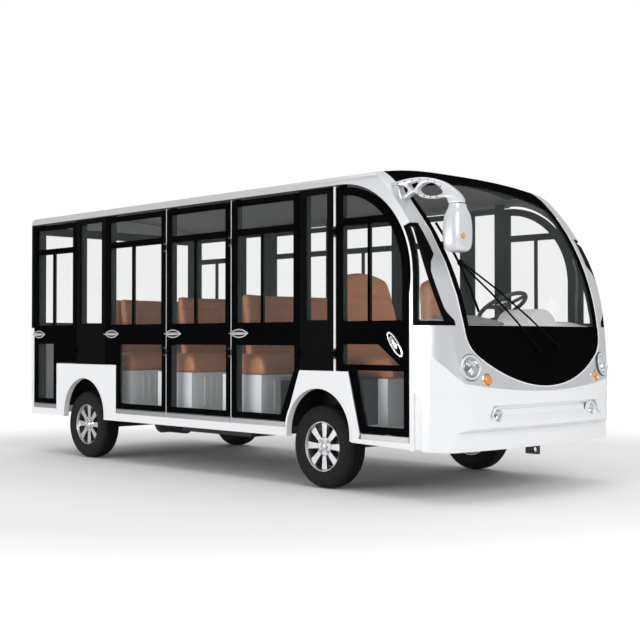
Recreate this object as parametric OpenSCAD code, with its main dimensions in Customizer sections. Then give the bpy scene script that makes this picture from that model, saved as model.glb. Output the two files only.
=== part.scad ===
// Electric sightseeing bus: enclosed cabin, side doors, bowed front, beam axles.

/* [Body] */
// width over the side panels
body_w = 1860; // [1800:1:1920]
// height to the crown of the roof
body_h = 2160; // [2120:1:2200]
// drop from the crown of the roof to the lower edge of its rail
rail_drop = 143; // [140:1:150]
// thickness of the moulded panels
wall = 30; // [24:1:34]
// radius of the front corners in plan
nose_r = 300; // [270:1:320]
// radius of the bow across the front
bow_r = 6000; // [5500:50:7000]
// radius of the windscreen in side view
screen_r = 1666; // [1640:1:1700]
// radius of the roof arch
roof_r = 5130; // [4800:10:5600]
// radius of the roof rail
rail_r = 50; // [40:1:60]

/* [Heights] */
// lower edge of the rocker
z_sill = 338; // [325:1:350]
// lower edge of the nose
z_nose = 312; // [300:1:325]
// top of the cabin floor
z_floor = 445; // [435:1:450]
// top of the fender blocks
z_fender = 800; // [780:1:820]
// lower edge of the belt panel
z_belt_lo = 962; // [940:1:980]
// upper edge of the belt panel
z_belt_hi = 1123; // [1105:1:1140]
// height of the top lights of the doors
transom = 256; // [230:1:280]
// lowest point of the black front panel
z_chin = 698; // [692:1:712]
// lower edge of the silver apron
z_brow = 668; // [660:1:676]

/* [Wheels] */
// distance between the axles
wheelbase = 2855; // [2800:1:2900]
// front axle to the bumper
front_overhang = 1245; // [1225:1:1260]
// rear axle to the tail panel
rear_overhang = 812; // [780:1:840]
// distance between the wheel centres across
track = 1600; // [1580:1:1616]
// outer diameter of the tyre
tyre_d = 561; // [545:1:570]
// width of the tyre
tyre_w = 165; // [155:1:170]
// outer diameter of the rim
rim_d = 357; // [345:1:365]
// spokes of a wheel
spokes = 8; // [6:1:9]
// radius of the wheel arches
arch_r = 302; // [294:1:310]

/* [Doors] */
// thickness of a door
door_t = 30; // [26:1:34]
// gap round a door
door_gap = 7; // [6:1:9]
// width of the door frame
frame_w = 52; // [46:1:58]
// width of the sliding pane mullion
mullion = 14; // [10:1:18]

/* [Seats] */
// height of the seat boxes
z_box = 745; // [735:1:760]
// thickness of a cushion
cushion_t = 140; // [120:1:150]
// height of the bench backs
z_back = 1372; // [1340:1:1400]

/* [Hidden] */
W = body_w / 2;
body_l = front_overhang + wheelbase + rear_overhang;
xf = body_l / 2;
xr = -body_l / 2;
ax_f = xf - front_overhang;
ax_r = ax_f - wheelbase;
rt = tyre_d / 2;
eps = 0.3;
// windscreen arc in side view, its lower and upper end
cw = [xf - 60 - screen_r, body_h - 1339];
a_lo = 8.4;
a_hi = 45.5;
z_hi = cw[1] + screen_r * sin(a_hi);
top_r = (body_h + 12 - z_hi) / (1 - sin(a_hi));
ct = [cw[0] + (screen_r - top_r) * cos(a_hi), z_hi - top_r * sin(a_hi)];
x_cut = 700;
screen_n = 10;
roof_n = 9;
scr_n = 12;
bow_deg = 14;
// front outline of the black surround: side at its corner, side at the top, bottom arc, corner arc
scr_z = 1064;
scr_w = W - 179;
scr_w2 = W - 115;
scr_r1 = W + 270;
scr_c1 = z_chin + scr_r1;
scr_d = scr_c1 - scr_z;
scr_r2 = (scr_r1 * scr_r1 - scr_w * scr_w - scr_d * scr_d) / (2 * (scr_r1 - scr_w));
scr_a = atan2(scr_d, scr_w - scr_r2);
// height where the sides of the surround turn upright
z_lean = body_h - 265;
// heights of the side
z_rail = body_h - rail_drop;
z_door_top = z_rail - 12;
z_bar = z_door_top - transom;
// width of the white strip behind the front door
strip_w = 18;
// slant of the door edge along the front fender
low_cut = 146;
// wheel arches: middle forward of the axle, height of the middle
arch_x = [ax_f + 16, ax_r + 40];
arch_z = 372;
// rear edge and front edge of the side bays
b0 = ax_r + 362;
b3 = ax_f - 163;
b1 = b0 + 0.353 * (b3 - b0);
b2 = b0 + 0.688 * (b3 - b0);
p5 = ax_r - 78;
p1 = ax_f + 157;
d1r = ax_f + 185;
d1f = xf - 413;
post = 9;
z_door = z_floor - 5;
z_door1 = 400;
// height of the sill plates
sill_h = 34;
// a door's columns
REAR = 0;
FRONT = 1;
HINGE_FRONT = 2;
REAR_TOP = 3;
REAR_LOW = 4;
FRONT_TOP = 5;
FRONT_LOW = 6;
BOTTOM = 7;
g = door_gap;
DOORS = [
  [d1r + g, d1f - g, 0, d1r + 122, d1r + 226, d1f - g, d1f - g, z_door1],
  [b2 + post, b3 - g, 1, b2 + post, b2 + post, b3 - g, b3 - low_cut, z_door],
  [b1 + post, b2 - post, 1, b1 + post, b1 + post, b2 - post, b2 - post, z_door],
  [b0 + g, b1 - post, 1, b0 + 154, b0 + 154, b1 - post, b1 - post, z_door],
  [xr + 48 + g, p5 - g, 1, xr + 48 + g, xr + 48 + g, p5 - 320, p5 - 320, z_door]
];
// corner arc of the front door
d1_r = 600;
d1_c = [d1f - d1_r, z_door_top - d1_r + g];
// hinge heights
HINGES = [908, z_door_top - 290];
hinge_y = W + 9;
barrel_r = 9;
pin_r = 4.5;
// tow eyes: height, bore
tow_z = z_nose - 32;
tow_d = 36;
// kingpin
king_y = track / 2 - 110;
// underside of the floor, with the seat clearance
z_under = z_floor - 21 - eps;
// top of the wheel wells
z_well = z_fender - 58;

// helpers
function on_arc(c, r, a) = [c[0] + r * cos(a), c[1] + r * sin(a)];
function bow(y) = bow_r - sqrt(bow_r * bow_r - y * y);
function dist2(p, q) = (p[0] - q[0]) * (p[0] - q[0]) + (p[1] - q[1]) * (p[1] - q[1]);
function clean(v) = [for (i = [0 : len(v) - 1]) if (dist2(v[i], v[(i + 1) % len(v)]) > 0.01) v[i]];
// x of the front surface on the centre line at height z
function face_x(z) = z < cw[1] + screen_r * sin(a_lo)
  ? cw[0] + screen_r * cos(a_lo) + tan(a_lo) * (cw[1] + screen_r * sin(a_lo) - z)
  : cw[0] + sqrt(screen_r * screen_r - (z - cw[1]) * (z - cw[1]));

module both() {
  children();
  mirror([0, 1, 0]) children();
}

// side view shape stood up, from y0 outward by t
module side(y0, t) {
  translate([0, y0 + t, 0]) rotate([90, 0, 0]) linear_extrude(height = t) children();
}

// front view shape run along the bus
module lengthwise(x0, l) {
  translate([x0, 0, 0]) rotate([90, 0, 90]) linear_extrude(height = l) children();
}

// side view of the outer form, set in by i: nose line, windscreen arc, roof arc
module side2d(i, zb) {
  A = on_arc(cw, screen_r - i, a_lo);
  screen = [for (k = [0 : screen_n]) on_arc(cw, screen_r - i, a_lo + k * (a_hi - a_lo) / screen_n)];
  roof = [for (k = [1 : roof_n]) on_arc(ct, top_r - i, a_hi + k * (90 - a_hi) / roof_n)];
  foot = [[x_cut, zb], [A[0] + tan(a_lo) * (A[1] - zb), zb]];
  polygon(concat(foot, screen, roof, [[x_cut, body_h + 12 - i]]));
}

module revolve_bow() {
  translate([xf - bow_r, 0, 0]) rotate([0, 0, -bow_deg])
    rotate_extrude(angle = 2 * bow_deg, $fn = 900) translate([bow_r - xf, 0]) children();
}

// plan of the outer form: the front corners round off, the straight sides are left to the front view
module plan2d(i) {
  xk = xf - bow(W - nose_r) - nose_r + 4;
  translate([xr + i, -W - 40]) square([xk - xr - i, 2 * W + 80]);
  translate([xk - 10, -W + nose_r]) square([nose_r + 200, 2 * (W - nose_r)]);
  for (s = [-1, 1]) translate([xk, s * (W - nose_r + 0.6)]) circle(r = nose_r - i, $fn = 360);
}

module front2d(i) {
  cy = W - rail_r;
  cz = body_h - roof_r + sqrt((roof_r - rail_r) * (roof_r - rail_r) - cy * cy);
  a = asin(cy / (roof_r - rail_r));
  difference() {
    intersection() {
      translate([-W + i, 100]) square([2 * (W - i), body_h]);
      translate([0, body_h - roof_r]) circle(r = roof_r - i, $fn = 1440);
    }
    for (s = [-1, 1]) scale([s, 1]) difference() {
      polygon([[cy, cz], [cy + 200, cz], [cy + 200, cz + 200], [cy + 200 * sin(a), cz + 200 * cos(a)]]);
      translate([cy, cz]) circle(r = rail_r - i, $fn = 120);
    }
  }
}

// outer form of the bus, set in by i
module loaf(i, zb) {
  intersection() {
    union() {
      revolve_bow() side2d(i, zb);
      translate([xr + i, -W - 20, zb]) cube([x_cut + 150 - xr - i, 2 * W + 40, body_h + 12 - i - zb]);
    }
    translate([0, 0, 50]) linear_extrude(height = body_h) plan2d(i);
    lengthwise(xr - 10, body_l + 200) front2d(i);
  }
}

module shell() {
  difference() {
    loaf(0, z_nose);
    loaf(wall, 200);
  }
}

// black surround in front view, set in by i: a flat bottom arc, two corner arcs, leaning sides
module screen2d(i) {
  c2 = [scr_w - scr_r2, scr_z];
  n = 3 * scr_n;
  span = 180 - 2 * scr_a;
  corner = [for (k = [0 : scr_n]) on_arc(c2, scr_r2 - i, -scr_a * k / scr_n)];
  bottom = [for (k = [1 : n - 1]) on_arc([0, scr_c1], scr_r1 - i, -scr_a - k * span / n)];
  left = [for (k = [scr_n : -1 : 0]) [-corner[k][0], corner[k][1]]];
  polygon(concat([[scr_w2 - i, 2400], [scr_w2 - i, z_lean]], corner, bottom, left,
    [[i - scr_w2, z_lean], [i - scr_w2, 2400]]));
}

module glass2d(i) {
  intersection() {
    screen2d(48 + i);
    translate([-1000, 1090 + i]) square([2000, 1200]);
    translate([0, body_h - 98 - i - 3000]) circle(r = 3000, $fn = 720);
  }
}

// quarter window in side view, set in by i
module quarter2d(i) {
  // the rear edge keeps a strip off the corner arc of the front door
  r = d1_r + 28 + i;
  edge = [for (k = [0 : 10]) on_arc(d1_c, r, 6 * k)];
  lean = 0.318;
  top = [xf - 355 - 1.1 * i, body_h - 413 - i];
  difference() {
    polygon([[d1f - 200, 1092 + i], [xf - 134 - 1.3 * i, 1088 + i], top,
      [d1f - 200, top[1] - lean * (top[0] - d1f + 200)]]);
    polygon(concat([[d1f - 400, 1000], [d1f + 28 + i, 1000]], edge, [[d1f - 400, edge[10][1]]]));
  }
}

// quarter window as a cutter on the left, kept a strip away from the black surround
module quarter(i) {
  w = 62 + i;
  difference() {
    side(W - 400, 410) quarter2d(i);
    lengthwise(xf - 1000, 1100)
      polygon([[0, scr_z - 200], [scr_w + w - 15.4, scr_z - 200], [scr_w2 + w, z_lean], [0, z_lean]]);
  }
}

// edge between the white and the silver part of the nose in side view
SWEEP = [[xf + 60, z_brow], [xf - 16, z_brow], [xf - 75, z_brow + 58], [xf - 156, 824], [xf - 275, 929],
  [d1f, 1045]];

// white lower part of the nose in side view
module white2d() {
  polygon(concat([[d1f, z_nose - 5], [xf + 60, z_nose - 5]], SWEEP));
}

// what is left of the silver part in side view
module silver2d() {
  difference() {
    polygon(concat([[xr - 5, body_h + 10], [xr - 5, z_rail], [d1_c[0], z_rail], [d1f, d1_c[1]]],
      [for (k = [5 : -1 : 0]) SWEEP[k]], [[xf + 60, body_h + 10]]));
    translate(d1_c) circle(r = d1_r + 12, $fn = 360);
  }
}

module arch2d(x) {
  translate([x - arch_r, z_nose - 60]) square([2 * arch_r, arch_z - z_nose + 60]);
  translate([x, arch_z]) circle(r = arch_r, $fn = 240);
}

// rolled edge round a wheel arch
module lip2d(x) {
  difference() {
    intersection() {
      translate([x, arch_z]) circle(r = arch_r + 18, $fn = 240);
      translate([x - arch_r - 13, z_sill + 1]) square([2 * arch_r + 37, 600]);
    }
    arch2d(x);
  }
}

module fender_f2d() {
  difference() {
    polygon([[b3 - low_cut + g, z_sill], [p1 + 226, z_sill], [d1r + 226 - g, z_door1 - 6],
      [d1r + 122 - g, z_fender - g], [b3, z_fender - g], [b3 - low_cut + g, z_door - g]]);
    arch2d(arch_x[0]);
  }
}

module fender_r2d() {
  difference() {
    translate([p5 - 320 + g, z_sill]) square([b0 + 154 - g - (p5 - 320 + g), z_fender - g - z_sill]);
    arch2d(arch_x[1]);
  }
}

module bumper2d() {
  polygon([[xf - 240, z_nose], [xf - 62, z_nose], [xf - 54, 430], [xf - 4, 455], [xf, 482],
    [xf - 10, 592], [xf - 6, 645], [xf - 18, z_brow], [xf - 240, z_brow]]);
}

// hollow behind the bumper
module bumper_room2d() {
  polygon([[xf - 310, 200], [xf - 92, 200], [xf - 84, 420], [xf - 80, 470], [xf - 80, 600], [xf - 46, 640],
    [xf - 46, z_brow + 30], [xf - 310, z_brow + 30]]);
}

// band set back between the fog lamps: a shelf, a ridge and a shadowed upper slope
module band2d() {
  polygon([[xf + 60, 486], [xf - 2, 486], [xf - 30, 524], [xf - 36, 528], [xf - 46, 566], [xf - 15, 594],
    [xf + 60, 594]]);
}

// front view of the band, its ends slanted outside the fog lamps
module band_ends2d() {
  y = W - 365;
  polygon([[-y, 600], [y, 600], [y + 26, 560], [y + 80, 480], [-y - 80, 480], [-y - 26, 560]]);
}

module chassis_frame() {
  color("#202224") {
    both() {
      translate([xr + 90, 300, 335]) cube([body_l - 250, 60, z_under - 335]);
      // spring hangers just beyond the leaf ends
      for (x = [ax_f, ax_r], s = [-1, 1])
        translate([x + s * (395 + eps) - (s < 0 ? 45 : 0), 355, 350]) cube([45, 91, z_under - 350]);
    }
    for (x = [xr + 90, ax_r - 440, ax_r + 440, ax_f - 480, ax_f + 420, xf - 230])
      translate([x, -310, 350]) cube([70, 620, 60]);
    // outriggers under the floor
    for (x = [ax_r + 500, 0, ax_f - 560])
      both() translate([x, 350, z_under - 50]) cube([50, W - 350 - 45, 50]);
    // tow eyes, hung below the panels so that a pin goes in from the side
    difference() {
      translate([xf - 200, -12, tow_z - 30]) cube([100, 24, 410 - tow_z + 30]);
      translate([xf - 130, -20, tow_z]) rotate([-90, 0, 0]) cylinder(d = tow_d, h = 40, $fn = 60);
    }
    difference() {
      translate([xr + 48, -12, tow_z - 30]) cube([82, 24, 410 - tow_z + 30]);
      translate([xr + 80, -20, tow_z]) rotate([-90, 0, 0]) cylinder(d = tow_d, h = 40, $fn = 60);
    }
  }
}

module front_axle() {
  color("#2a2c2e") {
    both() difference() {
      union() {
        translate([ax_f - 26, -5, rt - 30]) cube([52, king_y, 60]);
        translate([ax_f, king_y, rt - 34]) cylinder(r = 32, h = 68, $fn = 60);
      }
      translate([ax_f, king_y, rt - 60]) cylinder(r = 15.06, h = 120, $fn = 60);
    }
    both() translate([ax_f - 45, 385, rt + 30]) cube([90, 70, 20]);
  }
}

module rear_axle() {
  color("#2a2c2e") {
    both() {
      translate([ax_r, -5, rt]) rotate([-90, 0, 0]) cylinder(r = 38, h = track / 2 - 75, $fn = 60);
      translate([ax_r, track / 2 - 90, rt]) rotate([-90, 0, 0]) cylinder(r = 17.94, h = 130, $fn = 60);
      translate([ax_r - 45, 385, rt + 30]) cube([90, 70, 20]);
    }
    translate([ax_r, -90, rt]) rotate([-90, 0, 0]) cylinder(r = 115, h = 180, $fn = 90);
    translate([ax_r + 70, -95, rt - 10]) rotate([0, 90, 0]) cylinder(r = 92, h = 300, $fn = 90);
  }
}

module leaf2d(x) {
  // spring pack drawn as an arc ring between its two eyes
  difference() {
    intersection() {
      translate([x, rt + 50 + eps + 1300]) circle(r = 1300, $fn = 720);
      translate([x - 395, rt]) square([790, 200]);
    }
    translate([x, rt + 50 + eps + 1300]) circle(r = 1274, $fn = 720);
  }
}

module leaf_springs() {
  color("#303234") both() for (x = [ax_f, ax_r]) side(390, 56) leaf2d(x);
}

module battery_block() {
  color("#26282b") translate([ax_r + 560, -290, 225]) cube([900, 580, z_under - 225]);
}

module wells2d(x) {
  translate([x - 395, 300]) square([790, 420]);
}

// floor plates: rear edge, front edge, half width
FLOOR = [
  [xr + 45, ax_r - 405, W - 42],
  [ax_r - 405, ax_r + 405, 465],
  [ax_r + 405, ax_f - 405, W - 42],
  [ax_f - 405, ax_f + 405, 465],
  [ax_f + 405, xf - 420, W - 42],
  [xf - 420, xf - 290, W - 110]
];
BACK = 0;
AHEAD = 1;
HALF = 2;

module floor_pan() {
  color("#8f9499") {
    for (f = FLOOR) translate([f[BACK] + eps, -f[HALF] + eps, z_floor - 21])
      cube([f[AHEAD] - f[BACK] - 2 * eps, 2 * f[HALF] - 2 * eps, 21]);
    // toe board
    translate([xf - 290, -W + 110, z_floor - 21]) cube([20, 2 * W - 220, 700 - z_floor + 21]);
  }
}

module wheel_wells() {
  color("#2c2e30") both() for (x = [ax_f, ax_r]) difference() {
    side(465 + eps, W - 42 - 465 - eps)
      translate([x - 405 + eps, z_floor - 21]) square([810 - 2 * eps, z_well - z_floor + 21]);
    side(475, 500) wells2d(x);
  }
}

module body_lower() {
  color("#f2f3f4") {
    difference() {
      intersection() {
        shell();
        side(-W - 10, 2 * W + 20) white2d();
      }
      revolve_bow() translate([xf - 300, 300]) square([380, z_brow - 301]);
      lengthwise(xf - 600, 700) screen2d(0);
      both() lamp_bores(eps);
    }
    difference() {
      intersection() {
        revolve_bow() bumper2d();
        translate([0, 0, 50]) linear_extrude(height = body_h) plan2d(3);
      }
      intersection() {
        revolve_bow() bumper_room2d();
        translate([0, 0, 50]) linear_extrude(height = body_h) plan2d(wall);
      }
      intersection() {
        revolve_bow() band2d();
        lengthwise(xf - 200, 300) band_ends2d();
      }
      both() fog_at() cylinder(r = fog_r + eps, h = 120, $fn = 90);
    }
    both() {
      side(W - wall, wall) {
        translate([xr + 40, z_sill]) square([p5 - 300 - xr - 40, z_door - g - sill_h - z_sill]);
        translate([b0 + 140, z_sill]) square([b3 - low_cut + 14 - b0 - 140, z_door - g - sill_h - z_sill]);
        polygon([[ax_f + 330, z_sill - 6], [d1f + 24, z_nose + 6], [d1f + 24, z_door1 - g - sill_h],
          [ax_f + 330, z_door1 - g - sill_h]]);
        fender_f2d();
        fender_r2d();
      }
      side(W - wall + 4, wall - 12) translate([d1f + 8, z_nose + 9]) square([122, 470]);
      for (x = arch_x) side(W - wall - 14, wall + 18) lip2d(x);
    }
    difference() {
      translate([xr, -W, z_sill]) cube([45, 2 * W, z_belt_hi - 20 - z_sill]);
      both() translate([xr - 5, W - 190 - eps, 620 - eps]) cube([25 + eps, 120 + 2 * eps, 330 + 2 * eps]);
    }
  }
}

module body_upper() {
  color("#c9ccd0") difference() {
    intersection() {
      shell();
      side(-W - 10, 2 * W + 20) silver2d();
    }
    lengthwise(xr - 20, body_l + 200) screen2d(0);
    // joints of the roof rails with the nose moulding and the tail corners
    for (x = [xr + wall + 16, d1_c[0] - 60])
      translate([x, -W - 20, z_rail - 20]) cube([2 * eps, 2 * W + 40, body_h - z_rail + 60]);
    both() {
      quarter(0);
      lamp_bores(eps);
    }
  }
}

module side_frame() {
  color("#121314") {
    both() {
      difference() {
        side(W - wall, wall) {
          translate([p5, z_fender - g + eps]) square([b0 - p5, z_rail - z_fender + g - 2 * eps]);
          translate([b3, z_fender - g + eps])
            square([d1r - strip_w - eps - b3, z_rail - z_fender + g - 2 * eps]);
        }
        side(W - 60, 100) fixed_win2d(0);
      }
      // inner posts
      for (x = [p5, b0, b3, d1r])
        translate([x - 24, W - 90, z_well + eps]) cube([48, 50, z_rail + 20 - z_well - eps]);
      for (x = [xr + 72, b1, b2])
        translate([x - 24, W - 90, z_floor + eps]) cube([48, 50, z_rail + 20 - z_floor - eps]);
      // corner of the tail
      translate([xr + 2, W - wall - 1, z_belt_hi - 20 + eps])
        cube([44, wall + 1, z_rail - z_belt_hi + 20 - 2 * eps]);
      // fixed leaves of the hinges on the panels
      for (d = [DOORS[1], DOORS[4]]) fixed_hinge(d) translate([0, W - 4, -7]) cube([30, 8, 14]);
      difference() {
        intersection() {
          shell();
          quarter(eps);
        }
        quarter(30);
      }
    }
    difference() {
      translate([xr, -W + wall, z_belt_hi - 20 + eps])
        cube([40, 2 * W - 2 * wall, z_rail + 20 - z_belt_hi - 2 * eps]);
      translate([xr - 5, -W + 95, z_belt_hi + 30]) cube([60, 2 * W - 190, z_rail - z_belt_hi - 104]);
    }
  }
}

// light strips between the doors, with the hinge leaves that they carry
module pillar_strips() {
  color("#eceef0") both() {
    for (x = [b1, b2]) translate([x - 3.9, W - 40 + eps, z_door - g - sill_h + eps])
      cube([7.8, 35 - eps, z_rail - z_door + g + sill_h - 2 * eps]);
    translate([d1r - strip_w, W - wall, z_fender - g + eps])
      cube([strip_w, wall - 1, z_rail - z_fender + g - 2 * eps]);
    for (d = [DOORS[2], DOORS[3]])
      fixed_hinge(d) translate([post - g / 2 - 2.4, W - 12, -7]) cube([4.8, 21, 14]);
    fixed_hinge(DOORS[0]) translate([-20, W - 4, -7]) cube([20, 8, 14]);
  }
}

module fixed_win2d(i) {
  h = z_door_top - 40 - z_belt_hi - 2 * i;
  translate([p5 + 60 + i, z_belt_hi + 10 + i]) square([b0 - p5 - 120 - 2 * i, h]);
  translate([b3 + 60 + i, z_belt_hi + 10 + i]) square([d1r - strip_w - b3 - 120 - 2 * i, h]);
}

module fixed_glass() {
  color("#9fb4bd", 0.35) {
    both() {
      side(W - wall / 2 - 3, 6) fixed_win2d(eps);
      intersection() {
        difference() {
          loaf(8, z_nose);
          loaf(14, 200);
        }
        quarter(32);
      }
    }
    translate([xr + 17, -W + 95 + eps, z_belt_hi + 30 + eps])
      cube([6, 2 * W - 190 - 2 * eps, z_rail - z_belt_hi - 104 - 2 * eps]);
  }
}

module roof_panel() {
  color("#d5d8db") intersection() {
    shell();
    lengthwise(xr - 20, ct[0] - xr + 20) intersection() {
      screen2d(eps);
      translate([-1000, z_rail]) square([2000, 400]);
    }
  }
}

module screen_surround() {
  color("#0c0d0e") difference() {
    intersection() {
      shell();
      lengthwise(ct[0] + eps, 1500) screen2d(eps);
      translate([ct[0], -1000, z_brow + 1]) cube([2000, 2000, 2000]);
    }
    lengthwise(ct[0] - 100, 1600) glass2d(0);
  }
}

module windscreen() {
  color("#9fb4bd", 0.3) intersection() {
    difference() {
      loaf(8, z_nose);
      loaf(14, 200);
    }
    lengthwise(ct[0] + 10, 1500) glass2d(eps);
  }
}

module dash2d() {
  polygon([[xf - 330, 700 + eps], [xf - 190, 700 + eps], [xf - 150, 900], [xf - 190, 1080], [xf - 420, 1130],
    [xf - 560, 1110], [xf - 640, 1010], [xf - 600, 930], [xf - 400, 860]]);
}

module dashboard() {
  color("#c6c3ba") difference() {
    union() {
      intersection() {
        side(-W + 100, 2 * W - 200) dash2d();
        loaf(wall + 10, 200);
      }
      // hood over the dials
      intersection() {
        translate([xf - 620, sw_c[1], 1010]) rotate([0, 90, 0]) cylinder(r = 205, h = 270, $fn = 120);
        translate([xf - 700, -W, 1000]) cube([500, 2 * W, 300]);
      }
    }
    translate(sw_c) rotate([0, -sw_tilt, 0])
      translate([0, 0, -480]) cylinder(r = 30 + eps, h = 480, $fn = 60);
  }
}

// benches: cushion front, back front, half width of cushion, half width of back, facing
ROWS = [
  [b2 + 226, b2 - 150, W - 110, W - 330, 1],
  [b1 + 195, b1 - 180, W - 110, W - 330, 1],
  [b0 + 205, b0 - 168, W - 110, W - 330, 1],
  [ax_r - 516, ax_r - 146, W - 310, W - 330, -1]
];
FORE = 0;
AFT = 1;
SEAT_W = 2;
BACK_W = 3;
FACING = 4;
// front seats: middle, half width
FRONT_SEATS = [[480 - W, 330], [W - 510, 260]];
fs_aft = d1r - 70;
fs_fore = d1r + 360;
box_in = 35;

module seat_box(r) {
  l = abs(r[FORE] - r[AFT]) + 60;
  face = r[FORE] - r[FACING] * box_in;
  translate([r[FACING] > 0 ? face - l : face, -r[SEAT_W] + 20, z_floor + eps])
    cube([l, 2 * r[SEAT_W] - 40, z_box - z_floor - eps]);
  // upright ribs near the ends of the front
  both() for (k = [0 : 2])
    translate([face - (r[FACING] > 0 ? 4 : 8), r[SEAT_W] - 170 - 62 * k, z_floor + 45])
      cube([12, 26, z_box - z_floor - 85]);
}

module seat_boxes() {
  color("#d9dfe2") {
    difference() {
      union() for (r = ROWS) seat_box(r);
      both() side(460, 500) translate([ax_r - 412, 300]) square([824, z_well + 8 - 300]);
    }
    for (s = FRONT_SEATS) difference() {
      translate([d1r - 190, s[0] - s[1] + 20, z_floor + eps])
        cube([500, 2 * s[1] - 40, z_box - z_floor - eps]);
      both() side(455, 500) translate([ax_f - 410, 300]) square([820, z_well + 6 - 300]);
    }
  }
}

// cushion in side view with a rounded front edge
module cushion2d(fore, aft, f) {
  r = 62;
  zb = z_box + eps;
  nose = [for (k = [0 : 6]) on_arc([fore - f * r, zb + cushion_t - r], r, f > 0 ? 15 * k : 180 - 15 * k)];
  polygon(concat([[aft, zb], [fore, zb]], nose, [[aft, zb + cushion_t]]));
}

// back in side view with a rounded top, standing at its own foot
module back2d(t, z0, h, f) {
  crown = [for (k = [0 : 12]) on_arc([-f * (t / 2 + 2), h - t / 2], t / 2, f > 0 ? 15 * k : 180 - 15 * k)];
  polygon(concat([[-f * (t + 2), z0], [-f * 2, z0]], crown));
}

module seat_cushions() {
  color("#a5714a") {
    for (r = ROWS) side(-r[SEAT_W], 2 * r[SEAT_W]) cushion2d(r[FORE], r[AFT], r[FACING]);
    for (s = FRONT_SEATS) side(s[0] - s[1], 2 * s[1]) cushion2d(fs_fore, fs_aft, 1);
  }
}

module seat_backs() {
  color("#a5714a") {
    for (r = ROWS) translate([r[AFT] - r[FACING] * eps, 0, z_box + eps]) rotate([0, -6 * r[FACING], 0])
      side(-r[BACK_W], 2 * r[BACK_W]) back2d(90, 10, z_back - z_box, r[FACING]);
    for (s = FRONT_SEATS) translate([fs_aft - eps, s[0], z_box + eps]) rotate([0, -9, 0])
      side(-s[1] + 10, 2 * s[1] - 20) back2d(110, 18, z_back + 140 - z_box, 1);
  }
}

// round lamps on the apron: sideways, height, radius, turn outward
HEAD = [W - 195, 831, 63, 12];
AMBER = [W - 324, 753, 36, 8];
fog_y = W - 408;
fog_z = 530;
fog_r = 40;

// stands a lamp on the apron, its axis square to the surface
module on_apron(l) {
  translate([face_x(l[1]) - bow(l[0]), l[0], l[1]]) rotate([0, 90 - a_lo, l[3]]) children();
}

// stands a fog lamp in the band of the bumper
module fog_at() {
  translate([xf - 56 - bow(fog_y), fog_y, fog_z]) rotate([0, 90, 5]) children();
}

module lamp_bores(c) {
  for (l = [HEAD, AMBER]) on_apron(l) translate([0, 0, -130]) cylinder(r = l[2] + c, h = 230, $fn = 120);
}

module clear_lamps() {
  color("#e8ecee") both() {
    on_apron(HEAD) translate([0, 0, -48]) cylinder(r = HEAD[2], h = 56, $fn = 120);
    fog_at() translate([0, 0, eps]) cylinder(r = fog_r, h = 40, $fn = 90);
  }
}

module amber_lamps() {
  color("#f08a1c") both() on_apron(AMBER) translate([0, 0, -40]) cylinder(r = AMBER[2], h = 50, $fn = 90);
}

module tail_lamps() {
  color("#b01a18") both() translate([xr, W - 190, 620]) cube([20, 120, 330]);
}

// pointed oval, half length a, half width b
module lens2d(a, b) {
  r = (a * a + b * b) / (2 * b);
  intersection() {
    translate([0, b - r]) circle(r = r, $fn = 240);
    translate([0, r - b]) circle(r = r, $fn = 240);
  }
}

mir_z = body_h - 630;
mir_t = body_h - 330;
mir_y = 10 - W;

// arm of the mirror in side view: an arched truss with a three sided and an oval opening
module mirror_arm2d() {
  difference() {
    polygon([[xf - 580, mir_t + 110], [xf - 470, mir_t + 152], [xf - 380, mir_t + 176],
      [xf - 290, mir_t + 184], [xf - 200, mir_t + 174], [xf - 125, mir_t + 144], [xf - 72, mir_t + 98],
      [xf - 44, mir_t + 44],
      [xf - 36, mir_t - 6], [xf - 112, mir_t - 6], [xf - 128, mir_t + 34], [xf - 200, mir_t + 34],
      [xf - 290, mir_t + 44], [xf - 380, mir_t + 66], [xf - 470, mir_t + 44], [xf - 525, mir_t + 36]]);
    polygon([[xf - 450, mir_t + 132], [xf - 372, mir_t + 152], [xf - 398, mir_t + 92]]);
    translate([xf - 252, mir_t + 108]) rotate([0, 0, -10]) lens2d(104, 46);
  }
}

// head of the mirror: front view drawn in at the top, side view with a rounded foot
module mirror_head() {
  intersection() {
    lengthwise(xf - 130, 110) polygon(concat(
      [for (k = [0 : 6]) on_arc([mir_y + 45, mir_z + 45], 45, 180 + 15 * k)],
      [for (k = [0 : 6]) on_arc([mir_y + 105, mir_z + 45], 45, 270 + 15 * k)],
      [[mir_y + 150, mir_z + 150], [mir_y + 142, mir_z + 215], [mir_y + 112, mir_t], [mir_y + 34, mir_t],
      [mir_y + 6, mir_z + 215], [mir_y, mir_z + 150]]));
    side(mir_y - 10, 180) polygon(concat([[xf - 125, mir_z + 26], [xf - 112, mir_z]],
      [for (k = [0 : 6]) on_arc([xf - 65, mir_z + 40], 40, 270 + 15 * k)],
      [[xf - 25, mir_z + 150], [xf - 32, mir_z + 220], [xf - 44, mir_t], [xf - 118, mir_t]]));
  }
}

module wing_mirror() {
  color("#e9ebed") {
    difference() {
      side(mir_y + 48, 46) mirror_arm2d();
      loaf(-eps, 200);
    }
    mirror_head();
  }
}

module rod(p, q, r) {
  v = q - p;
  l = norm(v);
  translate(p) rotate([0, acos(v[2] / l), atan2(v[1], v[0])]) cylinder(r = r, h = l, $fn = 24);
}

// wiper: blade ends, middle of the blade, pivots of the two parallel arms, all in front view
BLADE = [[306 - W, 1174], [193 - W, 1738]];
wipe_m = [248 - W, 1482];
PIVOTS = [[111, 960, 9], [-100, 935, -9]];

// place at a height over the front
function over(p, h) = [face_x(p[1]) - bow(p[0]) + h, p[0], p[1]];

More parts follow.
